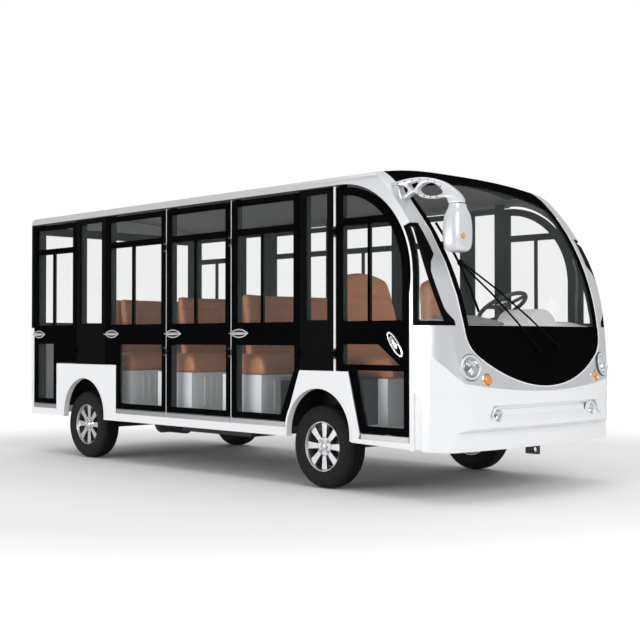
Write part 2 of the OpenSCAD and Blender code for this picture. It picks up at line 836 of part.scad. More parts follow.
// round bar from p to q in front view, in n lengths that follow the front
module bar(p, q, h, n, r) {
  pts = [for (k = [0 : n]) over(p + k / n * (q - p), h)];
  for (k = [1 : n]) rod(pts[k - 1], pts[k], r);
  for (k = [1 : n - 1]) translate(pts[k]) sphere(r = 1.15 * r, $fn = 36);
}

module wiper() {
  color("#0b0b0c") {
    bar(BLADE[0], BLADE[1], 21, 4, 8);
    for (p = PIVOTS) {
      bar([p[0], p[1]], wipe_m + [0, p[2]], 34, 3, 6);
      translate(over(p, 5)) rotate([0, 90, 0]) cylinder(r = 15, h = 38, $fn = 48);
    }
    translate(over(wipe_m, 27)) sphere(r = 20, $fn = 48);
  }
}

sw_c = [xf - 690, W - 530, 1235];
sw_tilt = 32;

module steering_column() {
  color("#1b1c1e") translate(sw_c) rotate([0, -sw_tilt, 0])
    translate([0, 0, -430]) cylinder(r = 30, h = 400 - eps, $fn = 60);
}

module steering_wheel() {
  color("#141516") translate(sw_c) rotate([0, -sw_tilt, 0]) {
    rotate_extrude($fn = 120) translate([182, 0]) circle(r = 15, $fn = 36);
    translate([0, 0, -30]) cylinder(r = 45, h = 40, $fn = 60);
    for (a = [30, 150, 270]) rotate([0, 0, a]) translate([30, -16, -10]) cube([150, 32, 14]);
  }
}

module sill_plates() {
  color("#9b9ea2") both() for (d = DOORS) difference() {
    translate([d[REAR_LOW] + 3, W - 42 + eps, d[BOTTOM] - g - sill_h + eps])
      cube([d[FRONT_LOW] - d[REAR_LOW] - 6, 39, sill_h - eps]);
    // tread grooves
    for (k = [0 : 2]) translate([d[REAR_LOW], W - 7, d[BOTTOM] - g - sill_h + 6 + 10 * k])
      cube([d[FRONT_LOW] - d[REAR_LOW], 10, 3.4]);
  }
}

module knuckle() {
  color("#34373a") {
    translate([ax_f, king_y, rt - 70]) cylinder(r = 15, h = 140, $fn = 60);
    for (z = [rt - 70, rt + 42]) translate([ax_f - 28, king_y - 28, z]) cube([56, 84, 28]);
    translate([ax_f - 28, king_y + 42, rt - 70]) cube([56, 18, 140]);
    translate([ax_f, king_y + 50, rt]) rotate([-90, 0, 0]) cylinder(r = 17.94, h = 100, $fn = 60);
    translate([ax_f - 150, king_y - 28, rt - 70]) cube([140, 26, 24]);
  }
}

module knuckle_left() {
  knuckle();
}

module knuckle_right() {
  mirror([0, 1, 0]) knuckle();
}

module tyre2d() {
  r0 = rim_d / 2 + 0.2;
  h = tyre_w / 2;
  difference() {
    polygon([[r0, -h + 22], [r0 + 30, -h + 2], [r0 + 45, -h], [rt - 34, -h + 4], [rt - 12, -h + 14],
      [rt, -h + 34], [rt, h - 34], [rt - 12, h - 14], [rt - 34, h - 4], [r0 + 45, h], [r0 + 30, h - 2],
      [r0, h - 22]]);
    translate([r0 - 1, -h + 40]) square([rt - r0 - 30, tyre_w - 80]);
  }
}

module rim2d() {
  r0 = rim_d / 2;
  h = tyre_w / 2;
  polygon([[r0 - 16, -h + 12], [r0, -h + 12], [r0, -h + 36], [r0 - 12, -h + 44], [r0 - 12, h - 44],
    [r0, h - 36], [r0, h - 12], [r0 - 16, h - 12], [r0 - 24, h - 36], [r0 - 24, -h + 36]]);
}

module wheel_at(x, s) {
  translate([x, s * track / 2, rt]) rotate([-90 * s, 0, 0]) children();
}

module tyre() {
  color("#1c1d1f") rotate_extrude($fn = 96) tyre2d();
}

module rim() {
  color("#c4c7ca") difference() {
    union() {
      rotate_extrude($fn = 96) rim2d();
      cylinder(r = 62, h = 48, $fn = 72);
      // spokes widen toward the rim
      for (i = [0 : spokes - 1]) rotate([0, 0, i * 360 / spokes]) translate([0, 0, 24])
        linear_extrude(height = 26)
          polygon([[45, -15], [rim_d / 2 - 18, -26], [rim_d / 2 - 18, 26], [45, 15]]);
    }
    translate([0, 0, -1]) cylinder(r = 18, h = 46, $fn = 60);
  }
}

module tyre_fl() {
  wheel_at(ax_f, 1) tyre();
}
module rim_fl() {
  wheel_at(ax_f, 1) rim();
}
module tyre_fr() {
  wheel_at(ax_f, -1) tyre();
}
module rim_fr() {
  wheel_at(ax_f, -1) rim();
}
module tyre_rl() {
  wheel_at(ax_r, 1) tyre();
}
module rim_rl() {
  wheel_at(ax_r, 1) rim();
}
module tyre_rr() {
  wheel_at(ax_r, -1) tyre();
}
module rim_rr() {
  wheel_at(ax_r, -1) rim();
}

// outline of a door in side view
module door2d(k) {
  d = DOORS[k];
  difference() {
    polygon(clean([[d[REAR_LOW], d[BOTTOM]], [d[FRONT_LOW], d[BOTTOM]], [d[FRONT_TOP], z_fender],
      [d[FRONT], z_fender], [d[FRONT], z_door_top], [d[REAR], z_door_top], [d[REAR], z_fender],
      [d[REAR_TOP], z_fender]]));
    if (k == 0) difference() {
      translate(d1_c) square([800, 800]);
      translate(d1_c) circle(r = d1_r - g, $fn = 360);
    }
  }
}

// openings of a door in side view, set in by i
module door_win2d(k, i) {
  d = DOORS[k];
  f = frame_w + i;
  x0 = d[REAR] + f;
  x1 = d[FRONT] - f;
  xm = d[REAR] + 0.46 * (d[FRONT] - d[REAR]);
  difference() {
    union() {
      translate([x0, z_bar + 47 + i]) square([x1 - x0, z_door_top - frame_w + 10 - z_bar - 47 - 2 * i]);
      translate([x0, z_belt_hi + i]) square([xm - mullion / 2 - i - x0, z_bar - z_belt_hi - 2 * i]);
      translate([xm + mullion / 2 + i, z_belt_hi + i])
        square([x1 - xm - mullion / 2 - i, z_bar - z_belt_hi - 2 * i]);
    }
    if (k == 0) difference() {
      translate(d1_c) square([800, 800]);
      translate(d1_c) circle(r = d1_r - g - f, $fn = 360);
    }
  }
  if (k == 0) {
    polygon([[d[REAR] + f, z_fender + 40 + i], [d[FRONT] - 70 - i, z_fender + 40 + i],
      [d[FRONT] - 258 - 0.6 * i, z_belt_lo + 10 - i], [d[REAR] + f, z_belt_lo + 10 - i]]);
    polygon([[d[REAR_LOW] + 44 + i, d[BOTTOM] + 45 + i], [d[FRONT] - 40 - i, d[BOTTOM] + 45 + i],
      [d[FRONT] - 40 - i, z_fender + 4 - i], [d[REAR_TOP] + 58 + i, z_fender + 4 - i]]);
  } else {
    polygon(clean([[d[REAR_LOW] + f - 8, d[BOTTOM] + 42 + i], [d[FRONT_LOW] - f + 8, d[BOTTOM] + 42 + i],
      [d[FRONT_TOP] - f + 8, z_fender - 1], [d[FRONT_TOP] - f + 8, z_belt_lo - i],
      [d[REAR_TOP] + f - 8, z_belt_lo - i], [d[REAR_TOP] + f - 8, z_fender]]));
  }
}

function hinge_x(d) = d[HINGE_FRONT] == 1 ? d[FRONT] + g / 2 : d[REAR] - g / 2;
function into(d) = d[HINGE_FRONT] == 1 ? -1 : 1;

// leaf carried by the body, with the pin
module fixed_hinge(d) {
  x = hinge_x(d);
  for (z = HINGES) {
    translate([x, hinge_y, z - 34]) cylinder(r = pin_r, h = 68, $fn = 36);
    for (e = [-1, 1]) {
      translate([x, hinge_y, z + e * 27 - 7]) cylinder(r = barrel_r, h = 14, $fn = 48);
      translate([x, 0, z + e * 27]) children();
    }
  }
}

module door_leaf(k) {
  d = DOORS[k];
  x = hinge_x(d);
  s = into(d);
  color("#101112") {
    difference() {
      union() {
        side(W - door_t, door_t) difference() {
          door2d(k);
          door_win2d(k, 0);
        }
        for (z = HINGES) {
          translate([x, hinge_y, z - 19]) cylinder(r = barrel_r, h = 38, $fn = 48);
          translate([s > 0 ? x : x - 34, W - 2, z - 19]) cube([34, 8, 38]);
        }
      }
      for (z = HINGES) translate([x, hinge_y, z - 40]) cylinder(r = pin_r + 0.06, h = 80, $fn = 48);
      // clearance for the fixed leaves
      for (z = HINGES, e = [-1, 1])
        translate([x, hinge_y, z + e * 27 - 8]) cylinder(r = barrel_r + 2, h = 16, $fn = 48);
    }
    handle(k);
  }
}

module handle(k) {
  d = DOORS[k];
  if (k == 0)
    translate([d[FRONT] - 97, W - 0.5, 972]) rotate([-90, 0, 0]) rotate([0, 0, 52]) oval(96, 30);
  else
    translate([d[REAR] + 108, W - 0.5, 1046]) rotate([-90, 0, 0]) oval(96, 28);
}

module oval(a, b) {
  linear_extrude(height = 22) lens2d(a, b);
}

module door_panes(k) {
  color("#9fb4bd", 0.35) side(W - door_t / 2 - 3, 6) door_win2d(k, eps);
}

module door_l1() {
  door_leaf(0);
}
module glass_l1() {
  door_panes(0);
}
module door_l2() {
  door_leaf(1);
}
module glass_l2() {
  door_panes(1);
}
module door_l3() {
  door_leaf(2);
}
module glass_l3() {
  door_panes(2);
}
module door_l4() {
  door_leaf(3);
}
module glass_l4() {
  door_panes(3);
}
module door_l5() {
  door_leaf(4);
}
module glass_l5() {
  door_panes(4);
}
module door_r1() {
  mirror([0, 1, 0]) door_leaf(0);
}
module glass_r1() {
  mirror([0, 1, 0]) door_panes(0);
}
module door_r2() {
  mirror([0, 1, 0]) door_leaf(1);
}
module glass_r2() {
  mirror([0, 1, 0]) door_panes(1);
}
module door_r3() {
  mirror([0, 1, 0]) door_leaf(2);
}
module glass_r3() {
  mirror([0, 1, 0]) door_panes(2);
}
module door_r4() {
  mirror([0, 1, 0]) door_leaf(3);
}
module glass_r4() {
  mirror([0, 1, 0]) door_panes(3);
}
module door_r5() {
  mirror([0, 1, 0]) door_leaf(4);
}
module glass_r5() {
  mirror([0, 1, 0]) door_panes(4);
}

chassis_frame();
front_axle();
rear_axle();
leaf_springs();
battery_block();
floor_pan();
wheel_wells();
body_lower();
body_upper();
side_frame();
pillar_strips();
fixed_glass();
roof_panel();
screen_surround();
windscreen();
dashboard();
seat_boxes();
seat_cushions();
seat_backs();
clear_lamps();
amber_lamps();
tail_lamps();
wing_mirror();
wiper();
steering_column();
sill_plates();
steering_wheel();
knuckle_left();
knuckle_right();
tyre_fl();
rim_fl();
tyre_fr();
rim_fr();
tyre_rl();
rim_rl();
tyre_rr();
rim_rr();
door_l1();
glass_l1();
door_l2();
glass_l2();
door_l3();
glass_l3();
door_l4();
glass_l4();
door_l5();
glass_l5();
door_r1();
glass_r1();
door_r2();
glass_r2();
door_r3();
glass_r3();
door_r4();
glass_r4();
door_r5();
glass_r5();
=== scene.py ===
import math

import bpy
from mathutils import Matrix, Vector


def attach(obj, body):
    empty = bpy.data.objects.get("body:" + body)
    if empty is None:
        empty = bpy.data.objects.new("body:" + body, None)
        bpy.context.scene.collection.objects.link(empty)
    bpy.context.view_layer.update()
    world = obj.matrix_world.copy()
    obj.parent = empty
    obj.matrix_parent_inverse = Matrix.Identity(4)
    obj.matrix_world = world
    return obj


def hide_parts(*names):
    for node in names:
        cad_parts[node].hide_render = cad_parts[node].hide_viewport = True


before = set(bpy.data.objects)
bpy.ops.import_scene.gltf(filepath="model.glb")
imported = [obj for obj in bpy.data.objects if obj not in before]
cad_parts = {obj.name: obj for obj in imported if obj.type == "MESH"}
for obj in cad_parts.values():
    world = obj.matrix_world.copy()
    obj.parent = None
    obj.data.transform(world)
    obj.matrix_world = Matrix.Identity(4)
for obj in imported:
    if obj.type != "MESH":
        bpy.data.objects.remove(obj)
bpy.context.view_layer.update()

# places of the bus in metres: forward x, left y, up z
HALF_W = 0.930
NOSE_X = 2.456
TAIL_X = -2.456
AXLE_F = 1.211
AXLE_R = -1.644
TYRE_R = 0.2805
TRACK = 1.600
BOW_R = 6.0
SCREEN_R = 1.666
SCREEN_C = (NOSE_X - 1.726, 0.821)
SCREEN_LO = math.radians(8.4)
DOOR_FRONT_1 = 2.036
DOOR_REAR = {2: 0.330, 3: -0.4505, 4: -1.275, 5: -2.401}
DOORS = range(1, 6)

# tolerances and edge angles of the modelling steps
WELD = 1e-5
SKIN_WELD = 2e-5
FLAT_ANGLE = math.radians(0.05)
BEVEL_ANGLE = math.radians(40)
QUARTER = math.pi / 2
FULL_TURN = 2 * math.pi


def nose_x(z):
    """x of the nose on the centre line at height z."""
    z_lo = SCREEN_C[1] + SCREEN_R * math.sin(SCREEN_LO)
    if z < z_lo:
        return SCREEN_C[0] + SCREEN_R * math.cos(SCREEN_LO) + math.tan(SCREEN_LO) * (z_lo - z)
    return SCREEN_C[0] + math.sqrt(SCREEN_R ** 2 - (z - SCREEN_C[1]) ** 2)


def nose_at(y, z):
    """x of the bowed nose at a place across and up."""
    r = BOW_R - NOSE_X + nose_x(z)
    return NOSE_X - BOW_R + math.sqrt(r * r - y * y)


def bow(y):
    """How far the nose falls back at a place across."""
    return BOW_R - math.sqrt(BOW_R * BOW_R - y * y)


def shift(x, y, z):
    return Matrix.Translation((x, y, z))


def spin(radians, axis):
    return Matrix.Rotation(radians, 4, axis)


def on_nose(y, z, yaw):
    """Stands a piece on the nose, its z axis square to the surface."""
    return (shift(nose_x(z) - bow(y), y, z) @ spin(math.radians(yaw), "Z")
            @ spin(QUARTER - SCREEN_LO, "Y"))


# right side pieces are drawn flat: along the bus, up, outward
RIGHT = Matrix(((1, 0, 0, 0), (0, 0, -1, -HALF_W), (0, 1, 0, 0), (0, 0, 0, 1)))


# modelling by hand
def rest():
    if bpy.context.object and bpy.context.object.mode != "OBJECT":
        bpy.ops.object.mode_set(mode="OBJECT")
    bpy.ops.object.select_all(action="DESELECT")


def take(*objs):
    rest()
    for o in objs:
        o.select_set(True)
    bpy.context.view_layer.objects.active = objs[-1]


def named(name):
    o = bpy.context.active_object
    o.name = o.data.name = name
    return o


def edit(o, mode="FACE", test=None):
    """Edit mode, with what passes the test picked, or everything.

    Faces and vertices are tested by place and normal, edges by middle and direction.
    """
    take(o)
    bpy.ops.object.mode_set(mode="EDIT")
    bpy.ops.mesh.select_mode(type=mode)
    bpy.ops.mesh.select_all(action="DESELECT" if test else "SELECT")
    if test:
        bpy.ops.object.mode_set(mode="OBJECT")
        if mode == "FACE":
            for f in o.data.polygons:
                f.select = bool(test(f.center, f.normal))
        elif mode == "EDGE":
            v = o.data.vertices
            for e in o.data.edges:
                a, b = (v[i].co for i in e.vertices)
                e.select = bool(test((a + b) / 2, a - b))
        else:
            for p in o.data.vertices:
                p.select = bool(test(p.co, p.normal))
        bpy.ops.object.mode_set(mode="EDIT")


def leave():
    bpy.ops.object.mode_set(mode="OBJECT")


def modify(o, kind, **settings):
    take(o)
    m = o.modifiers.new(kind.title(), kind)
    for k, v in settings.items():
        setattr(m, k, v)
    bpy.ops.object.modifier_apply(modifier=m.name)


def smooth(o, degrees=35):
    take(o)
    bpy.ops.object.shade_smooth_by_angle(angle=math.radians(degrees))
    return o


def settle(o):
    take(o)
    bpy.ops.object.transform_apply(location=True, rotation=True, scale=True)
    return o


def outward(o):
    edit(o)
    bpy.ops.mesh.remove_doubles(threshold=WELD)
    bpy.ops.mesh.normals_make_consistent(inside=False)
    leave()
    return o


def joined(name, *objs):
    take(*objs)
    bpy.ops.object.join()
    return named(name)


def twin(o, name, move=(0, 0, 0)):
    """A copy with its own mesh."""
    take(o)
    bpy.ops.object.duplicate(linked=False)
    c = named(name)
    c.matrix_world = Matrix.Translation(move) @ c.matrix_world
    return settle(c)


def across(o, name):
    """The same piece on the other side of the bus."""
    take(o)
    bpy.ops.object.duplicate(linked=False)
    c = named(name)
    c.scale = (1, -1, 1)
    settle(c)
    edit(c)
    bpy.ops.mesh.flip_normals()
    leave()
    return c


def drawn(*loops, closed):
    """A curve object of straight runs through points."""
    rest()
    bpy.ops.curve.primitive_bezier_curve_add(location=(0, 0, 0))
    c = bpy.context.active_object
    c.data.splines.clear()
    for loop in loops:
        s = c.data.splines.new("POLY")
        s.points.add(len(loop) - 1)
        for p, q in zip(s.points, loop):
            p.co = (*q, 1)
        s.use_cyclic_u = closed
    return c


def meshed(c, name):
    take(c)
    bpy.ops.object.convert(target="MESH")
    return named(name)


def line(name, pts, r, closed=False):
    """A round bead along points."""
    c = drawn(pts, closed=closed)
    c.data.dimensions = "3D"
    c.data.bevel_depth = r
    c.data.bevel_resolution = 3
    c.data.use_fill_caps = not closed
    return smooth(outward(meshed(c, name)), 60)


def plate(name, loops, depth, edge):
    """A flat plate from closed outlines, the later ones cut out of the first, with rounded edges."""
    c = drawn(*([(x, y, 0) for x, y in loop] for loop in loops), closed=True)
    c.data.dimensions = "2D"
    c.data.fill_mode = "BOTH"
    c.data.extrude = depth / 2 - edge
    c.data.bevel_depth = edge
    c.data.bevel_resolution = 2
    c.data.offset = -edge
    return smooth(outward(meshed(c, name)), 40)


def turned(name, profile, steps=72):
    """A profile of (radius, along) pairs spun round the z axis."""
    c = drawn([(r, 0, z) for r, z in profile], closed=False)
    c.data.dimensions = "3D"
    o = meshed(c, name)
    edit(o, "VERT")
    bpy.ops.mesh.spin(steps=steps, angle=FULL_TURN, center=(0, 0, 0), axis=(0, 0, 1))
    bpy.ops.mesh.select_all(action="SELECT")
    bpy.ops.mesh.remove_doubles(threshold=WELD)
    bpy.ops.mesh.normals_make_consistent(inside=False)
    leave()
    return smooth(o, 40)


def box(name, lo, hi):
    rest()
    bpy.ops.mesh.primitive_cube_add(size=1, location=[(a + b) / 2 for a, b in zip(lo, hi)])
    o = named(name)
    o.scale = [b - a for a, b in zip(lo, hi)]
    return settle(o)


def block(name, lo, hi, edge, segments=3):
    """A box between two corners with rounded edges."""
    o = box(name, lo, hi)
    edit(o, "EDGE")
    bpy.ops.mesh.bevel(offset=edge, segments=segments, affect="EDGES")
    leave()
    return smooth(o, 45)


def arc(c, r, a0, a1, n):
    """Points on an arc, from one angle in degrees to another."""
    angles = (math.radians(a0 + (a1 - a0) * k / n) for k in range(n + 1))
    return [(c[0] + r * math.cos(a), c[1] + r * math.sin(a)) for a in angles]


def ellipse(a, b, n=40):
    angles = (FULL_TURN * k / n for k in range(n))
    return [(a * math.cos(t), b * math.sin(t)) for t in angles]


def pointed(a, b, n=20):
    """Two shallow arcs that meet in points."""
    r = (a * a + b * b) / (2 * b)
    xs = (-a + 2 * a * k / n for k in range(n + 1))
    top = [(x, b - r + math.sqrt(r * r - x ** 2)) for x in xs]
    return top + [(x, -y) for x, y in reversed(top[1:-1])]


def through(pts, n=5):
    """A smooth closed loop through points."""
    out = []
    for k in range(len(pts)):
        four = [pts[(k + i - 1) % len(pts)] for i in range(4)]
        for u in (i / n for i in range(n)):
            out.append(tuple(
                0.5 * (2 * q + (r - p) * u + (2 * p - 5 * q + 4 * r - s) * u * u
                       + (3 * q - p - 3 * r + s) * u ** 3)
                for p, q, r, s in zip(*four)))
    return out


def fit(o, body, finish, slot, *stands_for):
    """Gives a piece its finish and its body, and hides the CAD pieces it stands for; slot is not used."""
    o.data.materials.clear()
    o.data.materials.append(finish)
    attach(o, body)
    if stands_for:
        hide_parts(*stands_for)
    return o


def both_sides(o, finish, slot, *stands_for):
    """Fits a left piece whose name ends in l, and its mirror image."""
    fit(o, "body", finish, slot, *stands_for)
    fit(across(o, o.name[:-1] + "r"), "body", finish, slot, *stands_for)


# finishes
class Val:
    """A shader value that takes part in sums."""

    def __init__(self, tree, out):
        self.tree, self.out = tree, out

    def _sum(self, op, a, b):
        n = self.tree.nodes.new("ShaderNodeMath")
        n.operation = op
        for s, v in zip(n.inputs, (a, b)):
            feed(self.tree, s, v)
        return Val(self.tree, n.outputs[0])

    def __add__(self, b): return self._sum("ADD", self, b)
    def __radd__(self, b): return self._sum("ADD", b, self)
    def __sub__(self, b): return self._sum("SUBTRACT", self, b)
    def __rsub__(self, b): return self._sum("SUBTRACT", b, self)
    def __mul__(self, b): return self._sum("MULTIPLY", self, b)
    def __rmul__(self, b): return self._sum("MULTIPLY", b, self)
    def __gt__(self, b): return self._sum("GREATER_THAN", self, b)


def feed(tree, socket, value):
    if isinstance(value, Val):
        tree.links.new(value.out, socket)
    else:
        socket.default_value = value


class Finish:
    """A material of nodes round one shader."""

    def __init__(self, name):
        self.mat = bpy.data.materials.new(name)
        self.mat.use_nodes = True
        self.tree = self.mat.node_tree
        self.tree.nodes.clear()
        self.shader = self.tree.nodes.new("ShaderNodeBsdfPrincipled")
        out = self.tree.nodes.new("ShaderNodeOutputMaterial")
        self.tree.links.new(self.shader.outputs[0], out.inputs[0])
        self.place = self.node("TexCoord")["Object"]

    def node(self, kind, settings=None, **sockets):
        n = self.tree.nodes.new("ShaderNode" + kind)
        for k, v in (settings or {}).items():
            setattr(n, k, v)
        for k, v in sockets.items():
            feed(self.tree, n.inputs[k.replace("_", " ")], v)
        return {o.name: Val(self.tree, o) for o in n.outputs if o.enabled}

    def noise(self, scale, detail=3.0, stretch=(1, 1, 1), rough=0.5):
        at = self.node("Mapping", Vector=self.place, Scale=stretch)["Vector"]
        return self.node("TexNoise", Vector=at, Scale=scale, Detail=detail, Roughness=rough)["Fac"]

    def cells(self, scale):
        return self.node("TexVoronoi", {"feature": "F1"}, Vector=self.place, Scale=scale)["Distance"]

    def ramp(self, fac, *stops):
        n = self.tree.nodes.new("ShaderNodeValToRGB")
        while len(n.color_ramp.elements) < len(stops):
            n.color_ramp.elements.new(0.5)
        for e, (at, tone) in zip(n.color_ramp.elements, stops):
            e.position, e.color = at, (*tone, 1)
        feed(self.tree, n.inputs["Fac"], fac)
        return Val(self.tree, n.outputs["Color"])

    def blend(self, fac, a, b):
        n = self.tree.nodes.new("ShaderNodeMix")
        n.data_type = "RGBA"
        feed(self.tree, n.inputs[0], fac)
        for socket, tone in ((n.inputs[6], a), (n.inputs[7], b)):
            feed(self.tree, socket, tone if isinstance(tone, Val) else (*tone, 1))
        return Val(self.tree, n.outputs[2])

    def relief(self, height, depth):
        n = self.node("Bump", Height=height, Distance=depth, Strength=1.0)
        self.set(Normal=n["Normal"])

    def set(self, **sockets):
        for k, v in sockets.items():
            feed(self.tree, self.shader.inputs[k.replace("_", " ")], v)


def shade(tone, by):
    return tuple(c * by for c in tone)


def paint(name, light, dark, rough, metal=0.0, coat=0.6, peel=0.0002, flake=0.0, shine=0.5):
    """Sprayed paint: a slow drift of tone, orange peel and, for metallics, flakes."""
    f = Finish(name)
    drift = f.noise(1.3, 4)
    f.set(Base_Color=f.blend(drift, dark, light), Metallic=metal, Coat_Weight=coat,
          Coat_Roughness=0.05, Specular_IOR_Level=shine)
    f.set(Roughness=rough + 0.08 * (f.noise(9, 5) - 0.5))
    f.relief(f.noise(900 if flake else 240, 2), peel + flake)
    return f.mat


def moulded(name, light, dark, rough, grain=0.0004, scale=420):
    """Grained plastic."""
    f = Finish(name)
    f.set(Base_Color=f.blend(f.noise(5, 5), dark, light), Roughness=rough + 0.12 * (f.noise(30, 4) - 0.5))
    f.relief(f.cells(scale), grain)
    return f.mat


def clear_sheet(name, tint, alpha):
    """Window glass with a faint haze."""
    f = Finish(name)
    haze = f.noise(2.2, 4)
    f.set(Base_Color=f.blend(haze, tint, shade(tint, 1.12)), Roughness=0.02 + 0.03 * haze, IOR=1.5)
    f.set(Alpha=alpha + 0.03 * (haze - 0.5), Coat_Weight=0.6)
    f.mat.use_transparent_shadow = True
    return f.mat


def hide_leather(name):
    """Caramel hide, paler where it is creased."""
    f = Finish(name)
    grain = f.cells(330)
    crease = f.noise(16, 6, rough=0.62)
    tone = f.noise(3.1, 4)
    base = f.blend(tone, (0.46, 0.165, 0.055), (0.57, 0.225, 0.085))
    worn = f.blend((crease > 0.60) * 0.35, base, (0.64, 0.30, 0.135))
    f.set(Base_Color=worn, Roughness=0.50 - 0.16 * crease + 0.10 * grain, Coat_Weight=0.08,
          Coat_Roughness=0.35)
    f.relief(grain * 0.6 + crease * 0.9, 0.0011)
    return f.mat


def tyre_rubber(name):
    """Black rubber with road dust."""
    f = Finish(name)
    dust = f.noise(22, 6, rough=0.65)
    tone = f.ramp(dust, (0.35, (0.005, 0.005, 0.0055)), (0.62, (0.010, 0.010, 0.0105)),
                  (0.85, (0.024, 0.0235, 0.0225)))
    f.set(Base_Color=tone, Specular_IOR_Level=0.22)
    f.set(Roughness=0.62 + 0.22 * dust)
    f.relief(f.noise(160, 4) + 0.4 * f.cells(90), 0.0005)
    return f.mat


def bright_metal(name, tone, rough, stretch=(1, 1, 1), scale=60):
    """Bare metal with brush marks."""
    f = Finish(name)
    brush = f.noise(scale, 4, stretch)
    f.set(Base_Color=f.blend(brush, shade(tone, 0.86), tone), Metallic=1.0,
          Roughness=rough + 0.14 * (brush - 0.5))
    f.relief(brush, 0.0001)
    return f.mat


def lens(name, tone, alpha, ribs=0.0):
    """A ribbed lamp lens."""
    f = Finish(name)
    wave = f.node("TexWave", {"bands_direction": "Y"}, Vector=f.place, Scale=26.0, Distortion=0.4)["Fac"]
    f.set(Base_Color=f.blend(wave, shade(tone, 0.8), tone), Roughness=0.06,
          Alpha=alpha + 0.04 * wave, Coat_Weight=0.8)
    f.relief(wave, ribs + 0.0002)
    f.mat.use_transparent_shadow = True
    return f.mat


WHITE = paint("pearl_white_gel_coat", (0.81, 0.82, 0.835), (0.775, 0.785, 0.805), 0.24)
SILVER = paint("silver_metallic", (0.66, 0.672, 0.69), (0.61, 0.622, 0.64), 0.30,
               metal=0.50, coat=0.7, flake=0.0001)
PEARL = paint("pearl_silver", (0.70, 0.715, 0.74), (0.64, 0.655, 0.68), 0.28, metal=0.35, coat=0.8)
BLACK = paint("gloss_black", (0.0035, 0.0035, 0.004), (0.0022, 0.0022, 0.0026), 0.22,
              coat=0.0, shine=0.0)
FRAME_BLACK = paint("frame_black", (0.0045, 0.0045, 0.005), (0.003, 0.003, 0.0034), 0.30,
                    coat=0.0, peel=0.0003, shine=0.01)
PANE = clear_sheet("side_pane", (0.30, 0.34, 0.35), 0.05)
SCREEN = clear_sheet("laminated_screen", (0.30, 0.35, 0.34), 0.05)
LEATHER = hide_leather("caramel_leather")
TYRE = tyre_rubber("road_rubber")
ALLOY = bright_metal("silver_alloy", (0.66, 0.67, 0.68), 0.30)
CHROME = bright_metal("chrome", (0.76, 0.77, 0.785), 0.09, scale=25)
BRUSHED = bright_metal("brushed_sill", (0.44, 0.445, 0.45), 0.42, (4, 90, 90), 6)
UNDER = paint("chassis_paint", (0.022, 0.022, 0.024), (0.014, 0.014, 0.015), 0.52, coat=0.1, peel=0.0006)
CASE = moulded("battery_case", (0.035, 0.036, 0.040), (0.024, 0.025, 0.028), 0.6)
DECK = moulded("deck_mat", (0.47, 0.48, 0.49), (0.40, 0.41, 0.42), 0.7, 0.0012, 60)
BOXES = moulded("pale_moulding", (0.88, 0.925, 0.94), (0.84, 0.885, 0.90), 0.42)
DASH = moulded("dash_moulding", (0.74, 0.75, 0.735), (0.68, 0.69, 0.675), 0.55, 0.0006, 260)
LINING = moulded("roof_lining", (0.15, 0.15, 0.155), (0.12, 0.12, 0.125), 0.8, 0.0008, 180)
# dark moulded trim for real black parts, also laid on as painted shade: the beads round the lamps, the lamp cups
# and the line under the roof rail
TRIM_AND_SHADE = moulded("black_trim", (0.020, 0.020, 0.021), (0.012, 0.012, 0.013), 0.55)
AMBER = lens("amber_lens", (0.90, 0.27, 0.006), 0.94, ribs=0.0006)
RED = lens("red_lens", (0.55, 0.008, 0.008), 0.94, ribs=0.0008)
CLEAR = lens("clear_lens", (0.80, 0.83, 0.86), 0.10)

CAD_FINISH = {
    "chassis_frame": UNDER, "front_axle": UNDER, "rear_axle": UNDER, "leaf_springs": UNDER,
    "knuckle_left": UNDER, "knuckle_right": UNDER, "battery_block": CASE, "floor_pan": DECK,
    "wheel_wells": TRIM_AND_SHADE, "pillar_strips": WHITE, "body_lower": WHITE, "body_upper": SILVER,
    "side_frame": FRAME_BLACK, "fixed_glass": PANE, "roof_panel": SILVER, "screen_surround": BLACK,
    "windscreen": SCREEN, "dashboard": DASH, "seat_boxes": BOXES, "seat_cushions": LEATHER,
    "seat_backs": LEATHER, "clear_lamps": CLEAR, "amber_lamps": AMBER, "tail_lamps": RED,
    "wing_mirror": WHITE, "wiper": FRAME_BLACK, "steering_column": TRIM_AND_SHADE, "sill_plates": BRUSHED,
    "steering_wheel": TRIM_AND_SHADE,
}
KIND_FINISH = {"tyre": TYRE, "rim": ALLOY, "door": BLACK, "glass": PANE}
for node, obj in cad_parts.items():
    obj.data.materials.clear()
    obj.data.materials.append(CAD_FINISH.get(node) or KIND_FINISH[node.split("_")[0]])


# panels with their curves smoothed
def skin(node, body, slot, degrees=30, edge=0.0):
    """A merged copy of a CAD piece with smooth curves and, where wanted, softened edges."""
    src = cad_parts[node]
    o = bpy.data.objects.new(node + "_skin", src.data.copy())
    bpy.context.scene.collection.objects.link(o)
    take(o)
    bpy.ops.mesh.customdata_custom_splitnormals_clear()
    edit(o)
    bpy.ops.mesh.remove_doubles(threshold=SKIN_WELD)
    bpy.ops.mesh.dissolve_limited(angle_limit=FLAT_ANGLE)
    leave()
    if edge:
        modify(o, "BEVEL", width=edge, segments=2, limit_method="ANGLE", angle_limit=BEVEL_ANGLE)
    smooth(o, degrees)
    modify(o, "WEIGHTED_NORMAL", keep_sharp=True)
    return fit(o, body, src.data.materials[0], slot, node)


def repaint(o, finish, test):
    """A second finish on the faces that pass test(place, normal)."""
    o.data.materials.append(finish)
    for f in o.data.polygons:
        if test(f.center, f.normal):
            f.material_index = len(o.data.materials) - 1


def lined(c, n):
    """Inner faces of the roof rails, and what looks down under the roof."""
    inner = n.y * c.y < -0.15 * abs(c.y) and c.x < 1.9
    return inner or n.z < -0.3 and c.z > 1.9


